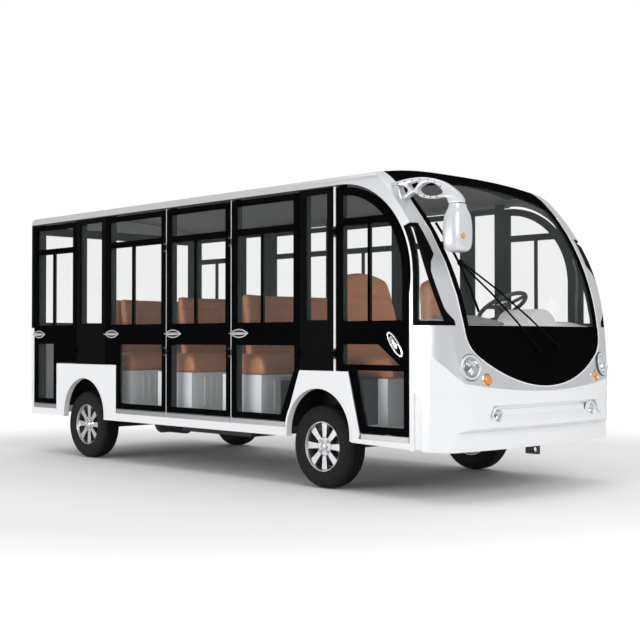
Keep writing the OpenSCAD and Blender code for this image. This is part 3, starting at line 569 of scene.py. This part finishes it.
for node in ("body_lower", "screen_surround", "windscreen", "dashboard", "wiper", "sill_plates",
             "seat_boxes"):
    skin(node, "body", "screen_glass" if node == "windscreen" else node,
         edge=0.006 if node == "dashboard" else 0.0)
repaint(skin("body_upper", "body", "body_upper"), LINING, lined)
repaint(skin("roof_panel", "body", "roof_panel"), LINING, lambda c, n: n.z < -0.3)
repaint(skin("pillar_strips", "body", "pillar_strips"), TRIM_AND_SHADE, lambda c, n: abs(c.y) > HALF_W + 0.0025)
skin("side_frame", "body", "side_frame")
for side in "lr":
    for k in DOORS:
        skin(f"door_{side}{k}", f"door_{side}{k}", "door_black", 35, 0.0018)


# padded seats
PAD_INSET = 0.008       # room that the stuffing swells into
PAD_EDGE = 0.016
PAD_VOXEL = 0.018
CLOTH_FRAMES = 20
SEAM_W, SEAM_DEPTH = 0.007, 0.009


def press(o):
    """One cloth step under pressure, without gravity."""
    m = o.modifiers.new("Cloth", "CLOTH")
    m.settings.quality = 4
    m.settings.use_pressure = True
    m.settings.uniform_pressure_force = 4.0
    m.settings.effector_weights.gravity = 0.0
    m.point_cache.frame_end = CLOTH_FRAMES
    for f in range(1, CLOTH_FRAMES + 1):
        bpy.context.scene.frame_set(f)
    take(o)
    bpy.ops.object.modifier_apply(modifier=m.name)
    bpy.context.scene.frame_set(1)


def pad(name, lo, hi, nose, seams, cap, rows=()):
    """A stuffed seat part between two corners: pressed out by a cloth step, then sewn.

    nose is how much the front upper edge is rolled, seams are places across, rows are heights,
    and cap is how far the stuffing may move a point.
    """
    lo, hi = [a + PAD_INSET for a in lo], [b - PAD_INSET for b in hi]
    o = box(name, lo, hi)
    edit(o, "EDGE", lambda c, d: c.x > hi[0] - 1e-4 and c.z > hi[2] - 1e-4)
    bpy.ops.mesh.bevel(offset=nose, segments=5, affect="EDGES")
    leave()
    roll = Vector((hi[0] - nose - 1e-3, 0, hi[2] - nose - 1e-3))
    edit(o, "EDGE", lambda c, d: not (c.x > roll.x and c.z > roll.z) or abs(d.y) < 1e-4)
    bpy.ops.mesh.bevel(offset=PAD_EDGE, segments=2, affect="EDGES")
    leave()
    modify(o, "REMESH", mode="VOXEL", voxel_size=PAD_VOXEL)
    start = [v.co.copy() for v in o.data.vertices]
    press(o)
    for v, b in zip(o.data.vertices, start):
        d = v.co - b
        if d.length > cap:
            v.co = b + d * (cap / d.length)
        v.co.z = max(v.co.z, lo[2] - PAD_INSET)
    modify(o, "SUBSURF", levels=1, render_levels=1)
    for v in o.data.vertices:
        sunk = sum(math.exp(-((v.co.y - y) / SEAM_W) ** 2) for y in seams)
        sunk += sum(math.exp(-((v.co.z - z) / SEAM_W) ** 2) for z in rows)
        if sunk > 0.02 and abs(v.normal.z) + abs(v.normal.x) > 0.5 and v.co.z > lo[2] + 0.02:
            v.co -= v.normal * (SEAM_DEPTH * min(sunk, 1.0))
    return smooth(o, 80)


def lean(o, at, degrees):
    o.data.transform(Matrix.Translation(at) @ spin(math.radians(-degrees), "Y"))
    return o


BOX_Z, PAD_Z = 0.7453, 0.8853
BENCH_REAR = {"row_2": 0.1710, "row_3": -0.6395, "row_4": -1.4500}
REAR_SEAT_X = -1.790
FRONT_SEAT = (1.326, 1.756)
BENCH_LEAN, FRONT_LEAN = 6, 9

bench = pad("bench_cushion", (0, -0.820, BOX_Z), (0.373, 0.820, PAD_Z), 0.060, (-0.41, 0.0, 0.41), 0.016)
back = pad("bench_back", (-0.092, -0.600, 0.010), (-0.002, 0.600, 0.627), 0.030,
           (-0.40, -0.2, 0.0, 0.2, 0.40), 0.014, rows=(0.52,))
soft = []
for row, x in BENCH_REAR.items():
    soft.append((twin(bench, row + "_cushion", (x, 0, 0)), "seat_cushions"))
    b = twin(back, row + "_back")
    soft.append((lean(b, (x - 0.0003, 0, BOX_Z), BENCH_LEAN), "seat_backs"))
about = spin(math.pi, "Z")
b = lean(twin(back, "row_5_back"), (0, 0, 0), BENCH_LEAN)
b.data.transform(shift(REAR_SEAT_X + 0.0003, 0, BOX_Z) @ about)
soft.append((b, "seat_backs"))
c = pad("row_5_cushion", (0, -0.620, BOX_Z), (0.370, 0.620, PAD_Z), 0.060, (-0.31, 0.0, 0.31), 0.016)
c.data.transform(shift(REAR_SEAT_X, 0, 0) @ about)
soft.append((c, "seat_cushions"))
for who, mid, half, seams in (
    ("passenger", -0.450, 0.330, (-0.24, 0.0, 0.24)),
    ("driver", 0.420, 0.260, (-0.17, 0.17)),
):
    c = pad(who + "_cushion", (FRONT_SEAT[0], mid - half, BOX_Z), (FRONT_SEAT[1], mid + half, PAD_Z),
            0.060, [mid + y for y in seams], 0.016)
    soft.append((c, "seat_cushions"))
    b = pad(who + "_back", (-0.112, mid - half + 0.01, 0.018), (-0.002, mid + half - 0.01, 0.767),
            0.045, (mid - half + 0.10, mid + half - 0.10), 0.018, rows=(0.56,))
    for v in b.data.vertices:    # narrower and rounded towards the top
        k = max(0.0, (v.co.z - 0.36) / 0.407)
        v.co.y = mid + (v.co.y - mid) * (1 - 0.26 * k * k)
        v.co.z -= 0.11 * k * ((v.co.y - mid) / half) ** 2
    soft.append((lean(b, (FRONT_SEAT[0] - 0.0003, 0, BOX_Z), FRONT_LEAN), "seat_backs"))
for o, node in soft:
    fit(o, "body", LEATHER, "leather", node)
for o in (bench, back):
    bpy.data.objects.remove(o)


# door handles
HANDLE_LIFT = 0.014
GRIP_Z = 0.026


def pull(name):
    """Pointed chrome bezel with a grip bar across and a key barrel."""
    rim = plate(name, [pointed(0.101, 0.034), ellipse(0.066, 0.021)], 0.020, 0.005)
    rim.data.transform(shift(0, 0, HANDLE_LIFT))
    rest()
    bpy.ops.mesh.primitive_uv_sphere_add(segments=32, ring_count=16, radius=1, location=(0, 0, GRIP_Z))
    bar = named("grip")
    bar.scale = (0.112, 0.0085, 0.0075)
    settle(bar)
    edit(bar, "VERT", lambda c, n: abs(c.x) < 0.06)
    bpy.ops.transform.resize(value=(1, 1.45, 1.25), center_override=(0, 0, GRIP_Z))
    leave()
    smooth(bar, 60)
    key = turned("key", [(0, 0.030), (0.007, 0.030), (0.009, 0.027), (0.009, 0.010), (0, 0.010)], 32)
    key.data.transform(shift(-0.050, 0, 0))
    return joined(name, key, bar, rim)


def ring_pull(name):
    """Tilted chrome ring with a short flap."""
    rim = plate(name, [ellipse(0.100, 0.034), ellipse(0.082, 0.019)], 0.020, 0.006)
    rim.data.transform(shift(0, 0, HANDLE_LIFT))
    outline = [(-0.060, -0.012), (0.020, -0.015), (0.040, 0.0), (0.020, 0.015), (-0.060, 0.012)]
    flap = plate("flap", [outline], 0.008, 0.003)
    flap.data.transform(shift(0, 0, 0.024))
    return joined(name, flap, rim)


level_pull, tilted_pull = pull("pull"), ring_pull("ring_pull")
for k in DOORS:
    if k == 1:
        o = twin(tilted_pull, f"handle_r{k}")
        at = shift(DOOR_FRONT_1 - 0.097, 0, 0.972) @ RIGHT @ spin(math.radians(-52), "Z")
    else:
        o = twin(level_pull, f"handle_r{k}")
        at = shift(DOOR_REAR[k] + 0.108, 0, 1.046) @ RIGHT
    o.data.transform(at)
    fit(o, f"door_r{k}", CHROME, "alloy")
    fit(across(o, f"handle_l{k}"), f"door_l{k}", CHROME, "alloy")
for o in (level_pull, tilted_pull):
    bpy.data.objects.remove(o)

# lamps: places across and up, and how far each one looks sideways
HEAD = (0.735, 0.831, 12)
TURN = (0.606, 0.753, 8)
FOG_Y, FOG_Z, FOG_IN = 0.522, 0.530, 0.056


def head_lamp():
    """Reflector with a bulb cup coloured dark as painted shade, a domed lens and a drop shaped bezel with a dark
    bead round it as a painted shadow line.
    """
    bowl = turned("head_bowl", [
        (0.061, 0.004), (0.056, -0.010), (0.044, -0.026), (0.026, -0.037), (0, -0.041), (0, -0.046),
        (0.03, -0.042), (0.05, -0.030), (0.062, -0.012), (0.0625, 0.004), (0.061, 0.004)])
    # the bulb cup is a real part; its dark colour is painted shade in the lamp's centre
    cup = turned("head_cup_l", [
        (0, -0.006), (0.008, -0.007), (0.013, -0.012), (0.014, -0.020), (0.020, -0.030),
        (0.020, -0.038), (0, -0.039)], 40)
    ring = turned("head_ring", [
        (0.030, -0.020), (0.033, -0.016), (0.036, -0.019), (0.034, -0.030), (0.030, -0.020)], 56)
    inside = joined("head_reflector_l", ring, bowl)
    glass = turned("head_lens_l", [
        (0, 0.024), (0.02, 0.0228), (0.038, 0.0185), (0.052, 0.0115), (0.0605, 0.003),
        (0.0605, -0.001), (0.050, 0.008), (0.036, 0.0155), (0.019, 0.0198), (0, 0.021)])
    tip, r = (0.030, 0.100), 0.079
    toward = math.degrees(math.atan2(tip[1], tip[0]))
    half = math.degrees(math.acos(r / math.hypot(*tip)))
    drop = arc((0, 0), r, toward + half, toward + 360 - half, 48) + [(tip[0] * 0.99, tip[1] * 0.99)]
    hole = arc((0, 0), 0.062, 0, 352.5, 47)
    surround = plate("head_bezel_l", [drop, hole], 0.016, 0.006)
    surround.data.transform(shift(0, 0, 0.005))
    # a dark bead on the nose round the bezel: painted shadow along the bezel's edge
    shade_line = line("head_gap_l", [(x * 1.02, y * 1.02, 0.001) for x, y in drop[:-1]], 0.0034)
    for o in (inside, glass, surround, cup, shade_line):
        o.data.transform(on_nose(*HEAD))
    both_sides(cup, TRIM_AND_SHADE, "alloy", "clear_lamps")
    both_sides(shade_line, TRIM_AND_SHADE, "side_frame")
    both_sides(inside, CHROME, "alloy", "clear_lamps")
    both_sides(glass, CLEAR, "clear_lamps", "clear_lamps")
    both_sides(surround, PEARL, "body_upper", "clear_lamps")


def fog_lamp():
    inside = turned("fog_reflector_l", [
        (0.034, 0.036), (0.030, 0.022), (0.018, 0.012), (0, 0.009), (0, 0.004), (0.02, 0.006),
        (0.036, 0.018), (0.0395, 0.036), (0.034, 0.036)], 56)
    # the bulb cup is a real part; its dark colour is painted shade in the lamp's centre
    cup = turned("fog_cup_l", [
        (0, 0.030), (0.006, 0.029), (0.010, 0.025), (0.011, 0.012), (0, 0.010)], 32)
    ring = turned("fog_ring_l", [
        (0.0385, 0.034), (0.041, 0.045), (0.046, 0.049), (0.051, 0.046), (0.053, 0.036),
        (0.053, 0.016), (0.0408, 0.016), (0.0385, 0.034)], 64)
    glass = turned("fog_lens_l", [
        (0, 0.047), (0.02, 0.045), (0.034, 0.039), (0.0385, 0.035), (0.036, 0.034),
        (0.019, 0.042), (0, 0.044)], 56)
    # a dark ring round the lamp's bore: painted shadow in the gap round the lens
    shade_line = line("fog_gap_l", [(x, y, 0.018) for x, y in ellipse(0.0545, 0.0545, 48)], 0.0028, True)
    at = (shift(NOSE_X - FOG_IN - bow(FOG_Y), FOG_Y, FOG_Z) @ spin(math.radians(5), "Z")
          @ spin(QUARTER, "Y"))
    for o in (inside, ring, glass, cup, shade_line):
        o.data.transform(at)
    both_sides(cup, TRIM_AND_SHADE, "alloy", "clear_lamps")
    both_sides(shade_line, TRIM_AND_SHADE, "side_frame")
    both_sides(inside, CHROME, "alloy", "clear_lamps")
    both_sides(ring, WHITE, "body_lower", "clear_lamps")
    both_sides(glass, CLEAR, "clear_lamps", "clear_lamps")


def turn_lamp():
    dome = turned("turn_lens_l", [
        (0, 0.020), (0.012, 0.0188), (0.023, 0.0150), (0.031, 0.008), (0.0335, 0.0),
        (0.0335, -0.030), (0, -0.030)], 56)
    ring = turned("turn_ring_l", [
        (0.034, -0.004), (0.034, 0.006), (0.037, 0.0095), (0.041, 0.007), (0.0425, 0.0),
        (0.0425, -0.006), (0.034, -0.004)], 56)
    for o in (dome, ring):
        o.data.transform(on_nose(*TURN))
    both_sides(dome, AMBER, "amber_lamps", "amber_lamps")
    both_sides(ring, CHROME, "alloy", "amber_lamps")


def tail_lamp():
    """Upright red lens with a sunk face and two bright bars across."""
    glass = block("tail_lens_l", (TAIL_X - 0.004, 0.742, 0.622), (TAIL_X + 0.018, 0.858, 0.948), 0.010)
    edit(glass, "FACE", lambda c, n: n.x < -0.9)
    bpy.ops.mesh.inset(thickness=0.012, depth=-0.004)
    leave()
    both_sides(glass, RED, "tail_lamps", "tail_lamps")
    for z in (0.73, 0.84):
        bar = block(f"tail_bar_{int(z * 100)}_l", (TAIL_X - 0.006, 0.752, z - 0.003),
                    (TAIL_X + 0.004, 0.848, z + 0.003), 0.002)
        both_sides(bar, CHROME, "alloy")


head_lamp()
fog_lamp()
turn_lamp()
tail_lamp()

# mirror on its pierced arm: the arm is drawn flat, back from the nose and up from the head's top
ARM = Matrix(((1, 0, 0, NOSE_X), (0, 0, -1, -0.849), (0, 1, 0, 1.830), (0, 0, 0, 1)))
MIRROR_X, MIRROR_Y, MIRROR_Z = NOSE_X - 0.092, -0.852, 1.832
MIRROR_SQUARE = 3.2    # power of the head's rounded cross section


def mirror_arm():
    rim = [
        (-0.640, 0.160), (-0.558, 0.178), (-0.472, 0.186), (-0.359, 0.183), (-0.262, 0.163),
        (-0.180, 0.130), (-0.105, 0.080), (-0.062, 0.036), (-0.052, 0.0), (-0.100, -0.004),
        (-0.148, 0.002), (-0.166, 0.036), (-0.207, 0.044), (-0.289, 0.043), (-0.359, 0.056),
        (-0.401, 0.078), (-0.433, 0.092), (-0.472, 0.076), (-0.508, 0.060), (-0.559, 0.052),
        (-0.630, 0.064)]
    eye = [
        (-0.401, 0.109), (-0.373, 0.131), (-0.338, 0.145), (-0.289, 0.143), (-0.234, 0.117),
        (-0.196, 0.078), (-0.221, 0.062), (-0.289, 0.060), (-0.359, 0.077)]
    gusset = [(-0.478, 0.150), (-0.429, 0.160), (-0.390, 0.157), (-0.410, 0.130), (-0.436, 0.112)]
    root = [
        (-0.600, 0.088), (-0.560, 0.078), (-0.510, 0.086), (-0.478, 0.112), (-0.520, 0.142),
        (-0.590, 0.146)]
    arm = plate("mirror_arm", [through(loop) for loop in (rim, eye, gusset, root)], 0.048, 0.008)
    arm.data.transform(ARM)
    return arm


def mirror_head():
    head = turned("mirror_head", [
        (0, -0.302), (0.030, -0.301), (0.052, -0.296), (0.066, -0.285), (0.074, -0.268),
        (0.079, -0.235), (0.080, -0.190), (0.079, -0.135), (0.075, -0.095), (0.067, -0.065),
        (0.057, -0.044), (0.050, -0.028), (0.047, -0.010), (0.047, -0.002), (0, -0.002)], 64)
    for v in head.data.vertices:
        a = math.atan2(v.co.y, v.co.x)
        full = (abs(math.cos(a)) ** MIRROR_SQUARE + abs(math.sin(a)) ** MIRROR_SQUARE) ** (-1 / MIRROR_SQUARE)
        v.co.x *= full * 0.84
        v.co.y *= full * 1.18
    head.data.transform(shift(MIRROR_X, MIRROR_Y, MIRROR_Z))
    modify(head, "SUBSURF", levels=1, render_levels=1)
    return smooth(head, 60)


def mirror_pins():
    """Rivet heads along the edges of the arm."""
    pins = []
    for x, z in ((-0.560, 0.162), (-0.500, 0.168), (-0.440, 0.172), (-0.375, 0.169), (-0.310, 0.159),
                 (-0.255, 0.140), (-0.210, 0.112), (-0.240, 0.052), (-0.290, 0.051), (-0.340, 0.061),
                 (-0.390, 0.083), (-0.480, 0.088), (-0.530, 0.066)):
        p = turned("dot", [(0, 0.0255), (0.0042, 0.0255), (0.0052, 0.0235), (0.0052, 0.018), (0, 0.018)], 16)
        p.data.transform(ARM @ shift(x, z, 0))
        pins.append(p)
    return joined("mirror_pins", *pins)


def mirror():
    arm, head = mirror_arm(), mirror_head()
    loop = [(MIRROR_X + x, MIRROR_Y + y, MIRROR_Z - 0.003) for x, y in ellipse(0.0405, 0.0555)]
    seam = line("mirror_seam", loop, 0.0018, True)
    clamp = block("mirror_clamp", (NOSE_X - 0.655, -0.895, 1.872), (NOSE_X - 0.520, -0.800, 1.980), 0.020)
    edit(clamp, "VERT", lambda c, n: c.z > 1.95)
    bpy.ops.transform.resize(value=(0.7, 0.7, 1), center_override=(NOSE_X - 0.62, -0.84, 1.98))
    leave()
    lamp = turned("mirror_marker", [
        (0, 0.012), (0.008, 0.011), (0.0145, 0.006), (0.0155, -0.02), (0, -0.02)], 40)
    ring = turned("mirror_marker_ring", [
        (0.0155, -0.006), (0.0155, 0.005), (0.018, 0.007), (0.0205, 0.004), (0.021, -0.008),
        (0.0155, -0.006)], 40)
    face = block("mirror_face", (NOSE_X - 0.1605, -0.905, 1.575), (NOSE_X - 0.150, -0.800, 1.735), 0.004)
    at = shift(NOSE_X - 0.029, -0.882, 1.626) @ spin(math.radians(-14), "Z") @ spin(QUARTER, "Y")
    lamp.data.transform(at)
    ring.data.transform(at)
    pins = mirror_pins()
    fit(arm, "body", PEARL, "wing_mirror", "wing_mirror")
    fit(head, "body", PEARL, "wing_mirror", "wing_mirror")
    fit(clamp, "body", SILVER, "wing_mirror")
    fit(seam, "body", TRIM_AND_SHADE, "wing_mirror")
    fit(lamp, "body", AMBER, "amber_lamps")
    fit(ring, "body", CHROME, "alloy")
    fit(face, "body", CHROME, "alloy")
    fit(pins, "body", TRIM_AND_SHADE, "wing_mirror")


mirror()

# wheels: treaded tyre, softened rim, cap, nuts and drum
LUGS = 60
LUG_Z, LUG_HALF = 0.052, 0.009
NUT_R = 0.047


def tyre():
    edge = [
        (0.1787, 0.050), (0.1690, 0.0715), (0.1680, 0.0745), (0.1700, 0.0770), (0.184, 0.0775),
        (0.200, 0.0795), (0.214, 0.0815), (0.2275, 0.0820), (0.2295, 0.0835), (0.2320, 0.0835),
        (0.2340, 0.0815), (0.248, 0.0795), (0.260, 0.0745), (0.2675, 0.0690), (0.2730, 0.0620),
        (0.2770, 0.0540), (0.2790, 0.0440)]
    grooves = []
    for mid in (0.034, 0.012, -0.012, -0.034):
        grooves += [(0.2804, mid + 0.0042), (0.2738, mid + 0.0032), (0.2735, mid),
                    (0.2738, mid - 0.0032), (0.2804, mid - 0.0042)]
    ring = turned("tyre", edge + grooves + [(r, -z) for r, z in reversed(edge)] + [edge[0]], 96)
    lugs = []
    for s in (1, -1):
        lug = block("lug", (0.2640, -0.0042, s * LUG_Z - LUG_HALF), (0.2800, 0.0042, s * LUG_Z + LUG_HALF),
                    0.0012, 1)
        lug.data.transform(shift(0, 0, s * 0.003))
        for v in lug.data.vertices:
            v.co.x -= 0.55 * max(0.0, abs(v.co.z) - 0.046)
        edit(lug)
        bpy.ops.mesh.spin(steps=LUGS, angle=FULL_TURN, dupli=True, center=(0, 0, 0), axis=(0, 0, 1))
        leave()
        lugs.append(lug)
    return joined("tyre", *lugs, ring)


def wheel_trim():
    cap = turned("cap", [
        (0, 0.064), (0.014, 0.0635), (0.022, 0.061), (0.027, 0.056), (0.029, 0.047), (0, 0.047)], 48)
    nuts = []
    for k in range(4):
        a = math.radians(45 + 90 * k)
        rest()
        bpy.ops.mesh.primitive_cylinder_add(
            vertices=6, radius=0.0105, depth=0.018,
            location=(NUT_R * math.cos(a), NUT_R * math.sin(a), 0.056))
        nut = settle(named("nut"))
        edit(nut, "FACE", lambda c, n: n.z > 0.9)
        bpy.ops.mesh.inset(thickness=0.003, depth=0.003)
        leave()
        nuts.append(nut)
    ring = turned("ring", [
        (0.061, 0.047), (0.0635, 0.0505), (0.060, 0.0525), (0.0575, 0.050), (0.0575, 0.047),
        (0.061, 0.047)], 64)
    return joined("wheel_trim", *nuts, ring, cap)


def drum():
    return turned("drum", [
        (0.022, -0.038), (0.128, -0.038), (0.134, -0.034), (0.134, -0.004), (0.128, 0.0),
        (0.062, 0.004), (0.022, 0.004), (0.022, -0.038)], 64)


WHEELS = {"fl": (AXLE_F, 1), "fr": (AXLE_F, -1), "rl": (AXLE_R, 1), "rr": (AXLE_R, -1)}
wheel_parts = (
    (tyre(), "tread", TYRE, "tyre", "tyre"),
    (wheel_trim(), "trim", CHROME, "alloy", None),
    (drum(), "drum", UNDER, "chassis_black", None),
)
for w, (x, s) in WHEELS.items():
    at = shift(x, s * TRACK / 2, TYRE_R) @ spin(-QUARTER * s, "X")
    for o, kind, finish, slot, node in wheel_parts:
        c = twin(o, f"{kind}_{w}")
        c.data.transform(at)
        fit(c, "wheel_" + w, finish, slot, *([f"{node}_{w}"] if node else []))
    skin("rim_" + w, "wheel_" + w, "alloy", 40, 0.0035)
for o, *_ in wheel_parts:
    bpy.data.objects.remove(o)


# beads and small fittings
def surround_edge():
    """Outline of the black panel, across and up, from the left top round the chin."""
    w, w_top, chin, z_low, z_top = 0.751, 0.815, 0.698, 1.064, 1.895
    r1 = 1.200
    c1 = chin + r1
    r2 = (r1 * r1 - w * w - (c1 - z_low) ** 2) / (2 * (r1 - w))
    a = math.degrees(math.atan2(c1 - z_low, w - r2))
    left = [(w + (w_top - w) * k / 4, z_low + (z_top - z_low) * k / 4) for k in range(4, 0, -1)]
    left += arc((w - r2, z_low), r2, 0, -a, 12)
    left += arc((0, c1), r1, -a, -90, 24)[1:]
    return left + [(-y, z) for y, z in reversed(left[:-1])]


piping = [(nose_at(y, z) + 0.001, y, z) for y, z in surround_edge()]
fit(line("panel_piping", piping, 0.0055), "body", WHITE, "body_lower")
# a dark bead along the lower edge of the roof rail on each side: a painted shadow line under the rail
for s, tag in ((1, "l"), (-1, "r")):
    ends = [(x, s * (HALF_W + 0.001), 2.019) for x in (TAIL_X + 0.01, 1.44)]
    fit(line("gutter_" + tag, ends, 0.0045), "body", TRIM_AND_SHADE, "side_frame")

DIAL_X, DIAL_Z = 1.829, 1.115
COVER_X, COVER_Z = 2.08, 1.125
BOSS_X, BOSS_Y, BOSS_Z = NOSE_X - 0.690, 0.400, 1.235


def dash_fittings():
    pod = block("dial_panel", (DIAL_X, 0.250, 1.065), (DIAL_X + 0.010, 0.550, 1.165), 0.004)
    fit(pod, "body", TRIM_AND_SHADE, "dashboard")
    for y in (0.33, 0.47):
        dial = turned("dial", [
            (0, 0.002), (0.026, 0.002), (0.031, 0.005), (0.034, 0.002), (0.034, -0.004), (0, -0.004)], 40)
        dial.data.transform(shift(DIAL_X, y, DIAL_Z) @ spin(-QUARTER, "Y"))
        fit(dial, "body", CHROME, "alloy")
    cover = block("dash_cover", (1.960, -0.62, 1.118), (2.200, -0.16, 1.140), 0.010)
    cover.data.transform(shift(COVER_X, 0, COVER_Z) @ spin(math.radians(12), "Y") @ shift(-COVER_X, 0, -COVER_Z))
    fit(cover, "body", moulded("dash_grey", (0.22, 0.23, 0.235), (0.18, 0.19, 0.195), 0.6), "dashboard")
    boss = turned("wheel_boss", [
        (0, 0.022), (0.030, 0.020), (0.044, 0.014), (0.048, 0.006), (0.048, -0.004), (0, -0.004)], 48)
    boss.data.transform(shift(BOSS_X, BOSS_Y, BOSS_Z) @ spin(math.radians(-32), "Y") @ shift(0, 0, 0.012))
    fit(boss, "steering_wheel", ALLOY, "steering_wheel")
    skin("steering_wheel", "steering_wheel", "steering_wheel", 60, 0.003)


def rear_fittings():
    blank = block("blank_plate", (TAIL_X - 0.004, -0.22, 0.70), (TAIL_X + 0.004, 0.22, 0.81), 0.003)
    fit(blank, "body", WHITE, "body_lower")
    border = block("plate_frame", (TAIL_X - 0.002, -0.235, 0.685), (TAIL_X + 0.004, 0.235, 0.825), 0.004)
    fit(border, "body", TRIM_AND_SHADE, "side_frame")
    step = block("rear_step", (TAIL_X - 0.012, -0.80, 0.395), (TAIL_X + 0.012, 0.80, 0.455), 0.010)
    fit(step, "body", TRIM_AND_SHADE, "side_frame")


dash_fittings()
rear_fittings()

# stage, light and camera
AMBIENT = 0.54
LAMPS = (    # name, place, aim, width, height, power
    ("key", (9.0, -2.2, 4.8), (1.0, 0, 0.8), 5.0, 5.0, 320),
    ("side", (-2.0, -8.5, 5.5), (-0.5, 0, 0.8), 6.0, 6.0, 40),
    ("low", (-2.4, -9.2, 0.95), (-1.2, 0, 0.75), 5.0, 1.6, 270),
    ("back", (-8.0, 6.0, 4.0), (-0.5, 0, 0.8), 5.0, 5.0, 200),
    ("top", (0.0, 0.0, 8.0), (0, 0, 0), 8.0, 8.0, 230),
)
CAMERA_AT = (6.7804, -6.3406, 1.0077)
CAMERA_LOOK = (-0.7147, 0.6993, 0.0162)


def facing(o, way):
    o.rotation_mode = "QUATERNION"
    o.rotation_quaternion = Vector(way).to_track_quat("-Z", "Y")


def lay_floor():
    """A pale floor that fades to the white of the background away from the bus."""
    rest()
    bpy.ops.mesh.primitive_plane_add(size=60, location=(0, 0, -0.001))
    floor = settle(named("floor"))
    f = Finish("pale_floor")
    f.set(Base_Color=f.blend(f.noise(0.2), (0.86, 0.86, 0.86), (0.88, 0.88, 0.88)), Roughness=0.9)
    look = f.node("LightPath")
    away = f.node("VectorMath", {"operation": "LENGTH"}, Vector=f.place)["Value"]
    far = f.node("MapRange", Value=away, From_Min=3.4, From_Max=7.0)["Result"]
    f.set(Emission_Color=f.blend(look["Is Camera Ray"] * far, (0, 0, 0), (0.58, 0.58, 0.58)),
          Emission_Strength=1.0)
    floor.data.materials.append(f.mat)


def light_world():
    """White where it is seen, dimmer as a source of light."""
    world = bpy.data.worlds.new("studio")
    bpy.context.scene.world = world
    world.use_nodes = True
    t = world.node_tree
    t.nodes.clear()
    out = t.nodes.new("ShaderNodeOutputWorld")
    path = t.nodes.new("ShaderNodeLightPath")
    seen = Val(t, path.outputs["Is Camera Ray"]) + Val(t, path.outputs["Is Transmission Ray"])
    bg = t.nodes.new("ShaderNodeBackground")
    bg.inputs["Color"].default_value = (1, 1, 1, 1)
    level = AMBIENT + (1 - AMBIENT) * (seen > 0.5)
    t.links.new(level.out, bg.inputs["Strength"])
    t.links.new(bg.outputs[0], out.inputs[0])


def set_lamps():
    for name, at, aim, wide, high, power in LAMPS:
        bpy.ops.object.light_add(type="AREA", location=at)
        lamp = bpy.context.active_object
        lamp.name = name
        lamp.visible_glossy = name != "back"    # it would mirror white in the roof
        lamp.data.shape = "RECTANGLE"
        lamp.data.size = wide
        lamp.data.size_y = high
        lamp.data.energy = power
        facing(lamp, Vector(aim) - Vector(at))


def set_camera():
    bpy.ops.object.camera_add(location=CAMERA_AT)
    cam = bpy.context.active_object
    cam.name = "photo_view"
    facing(cam, CAMERA_LOOK)
    cam.data.lens = 65.0
    cam.data.sensor_width = 36.0
    cam.data.clip_end = 100
    bpy.context.scene.camera = cam
    bpy.context.scene.view_settings.view_transform = "Standard"


lay_floor()
light_world()
set_lamps()
set_camera()
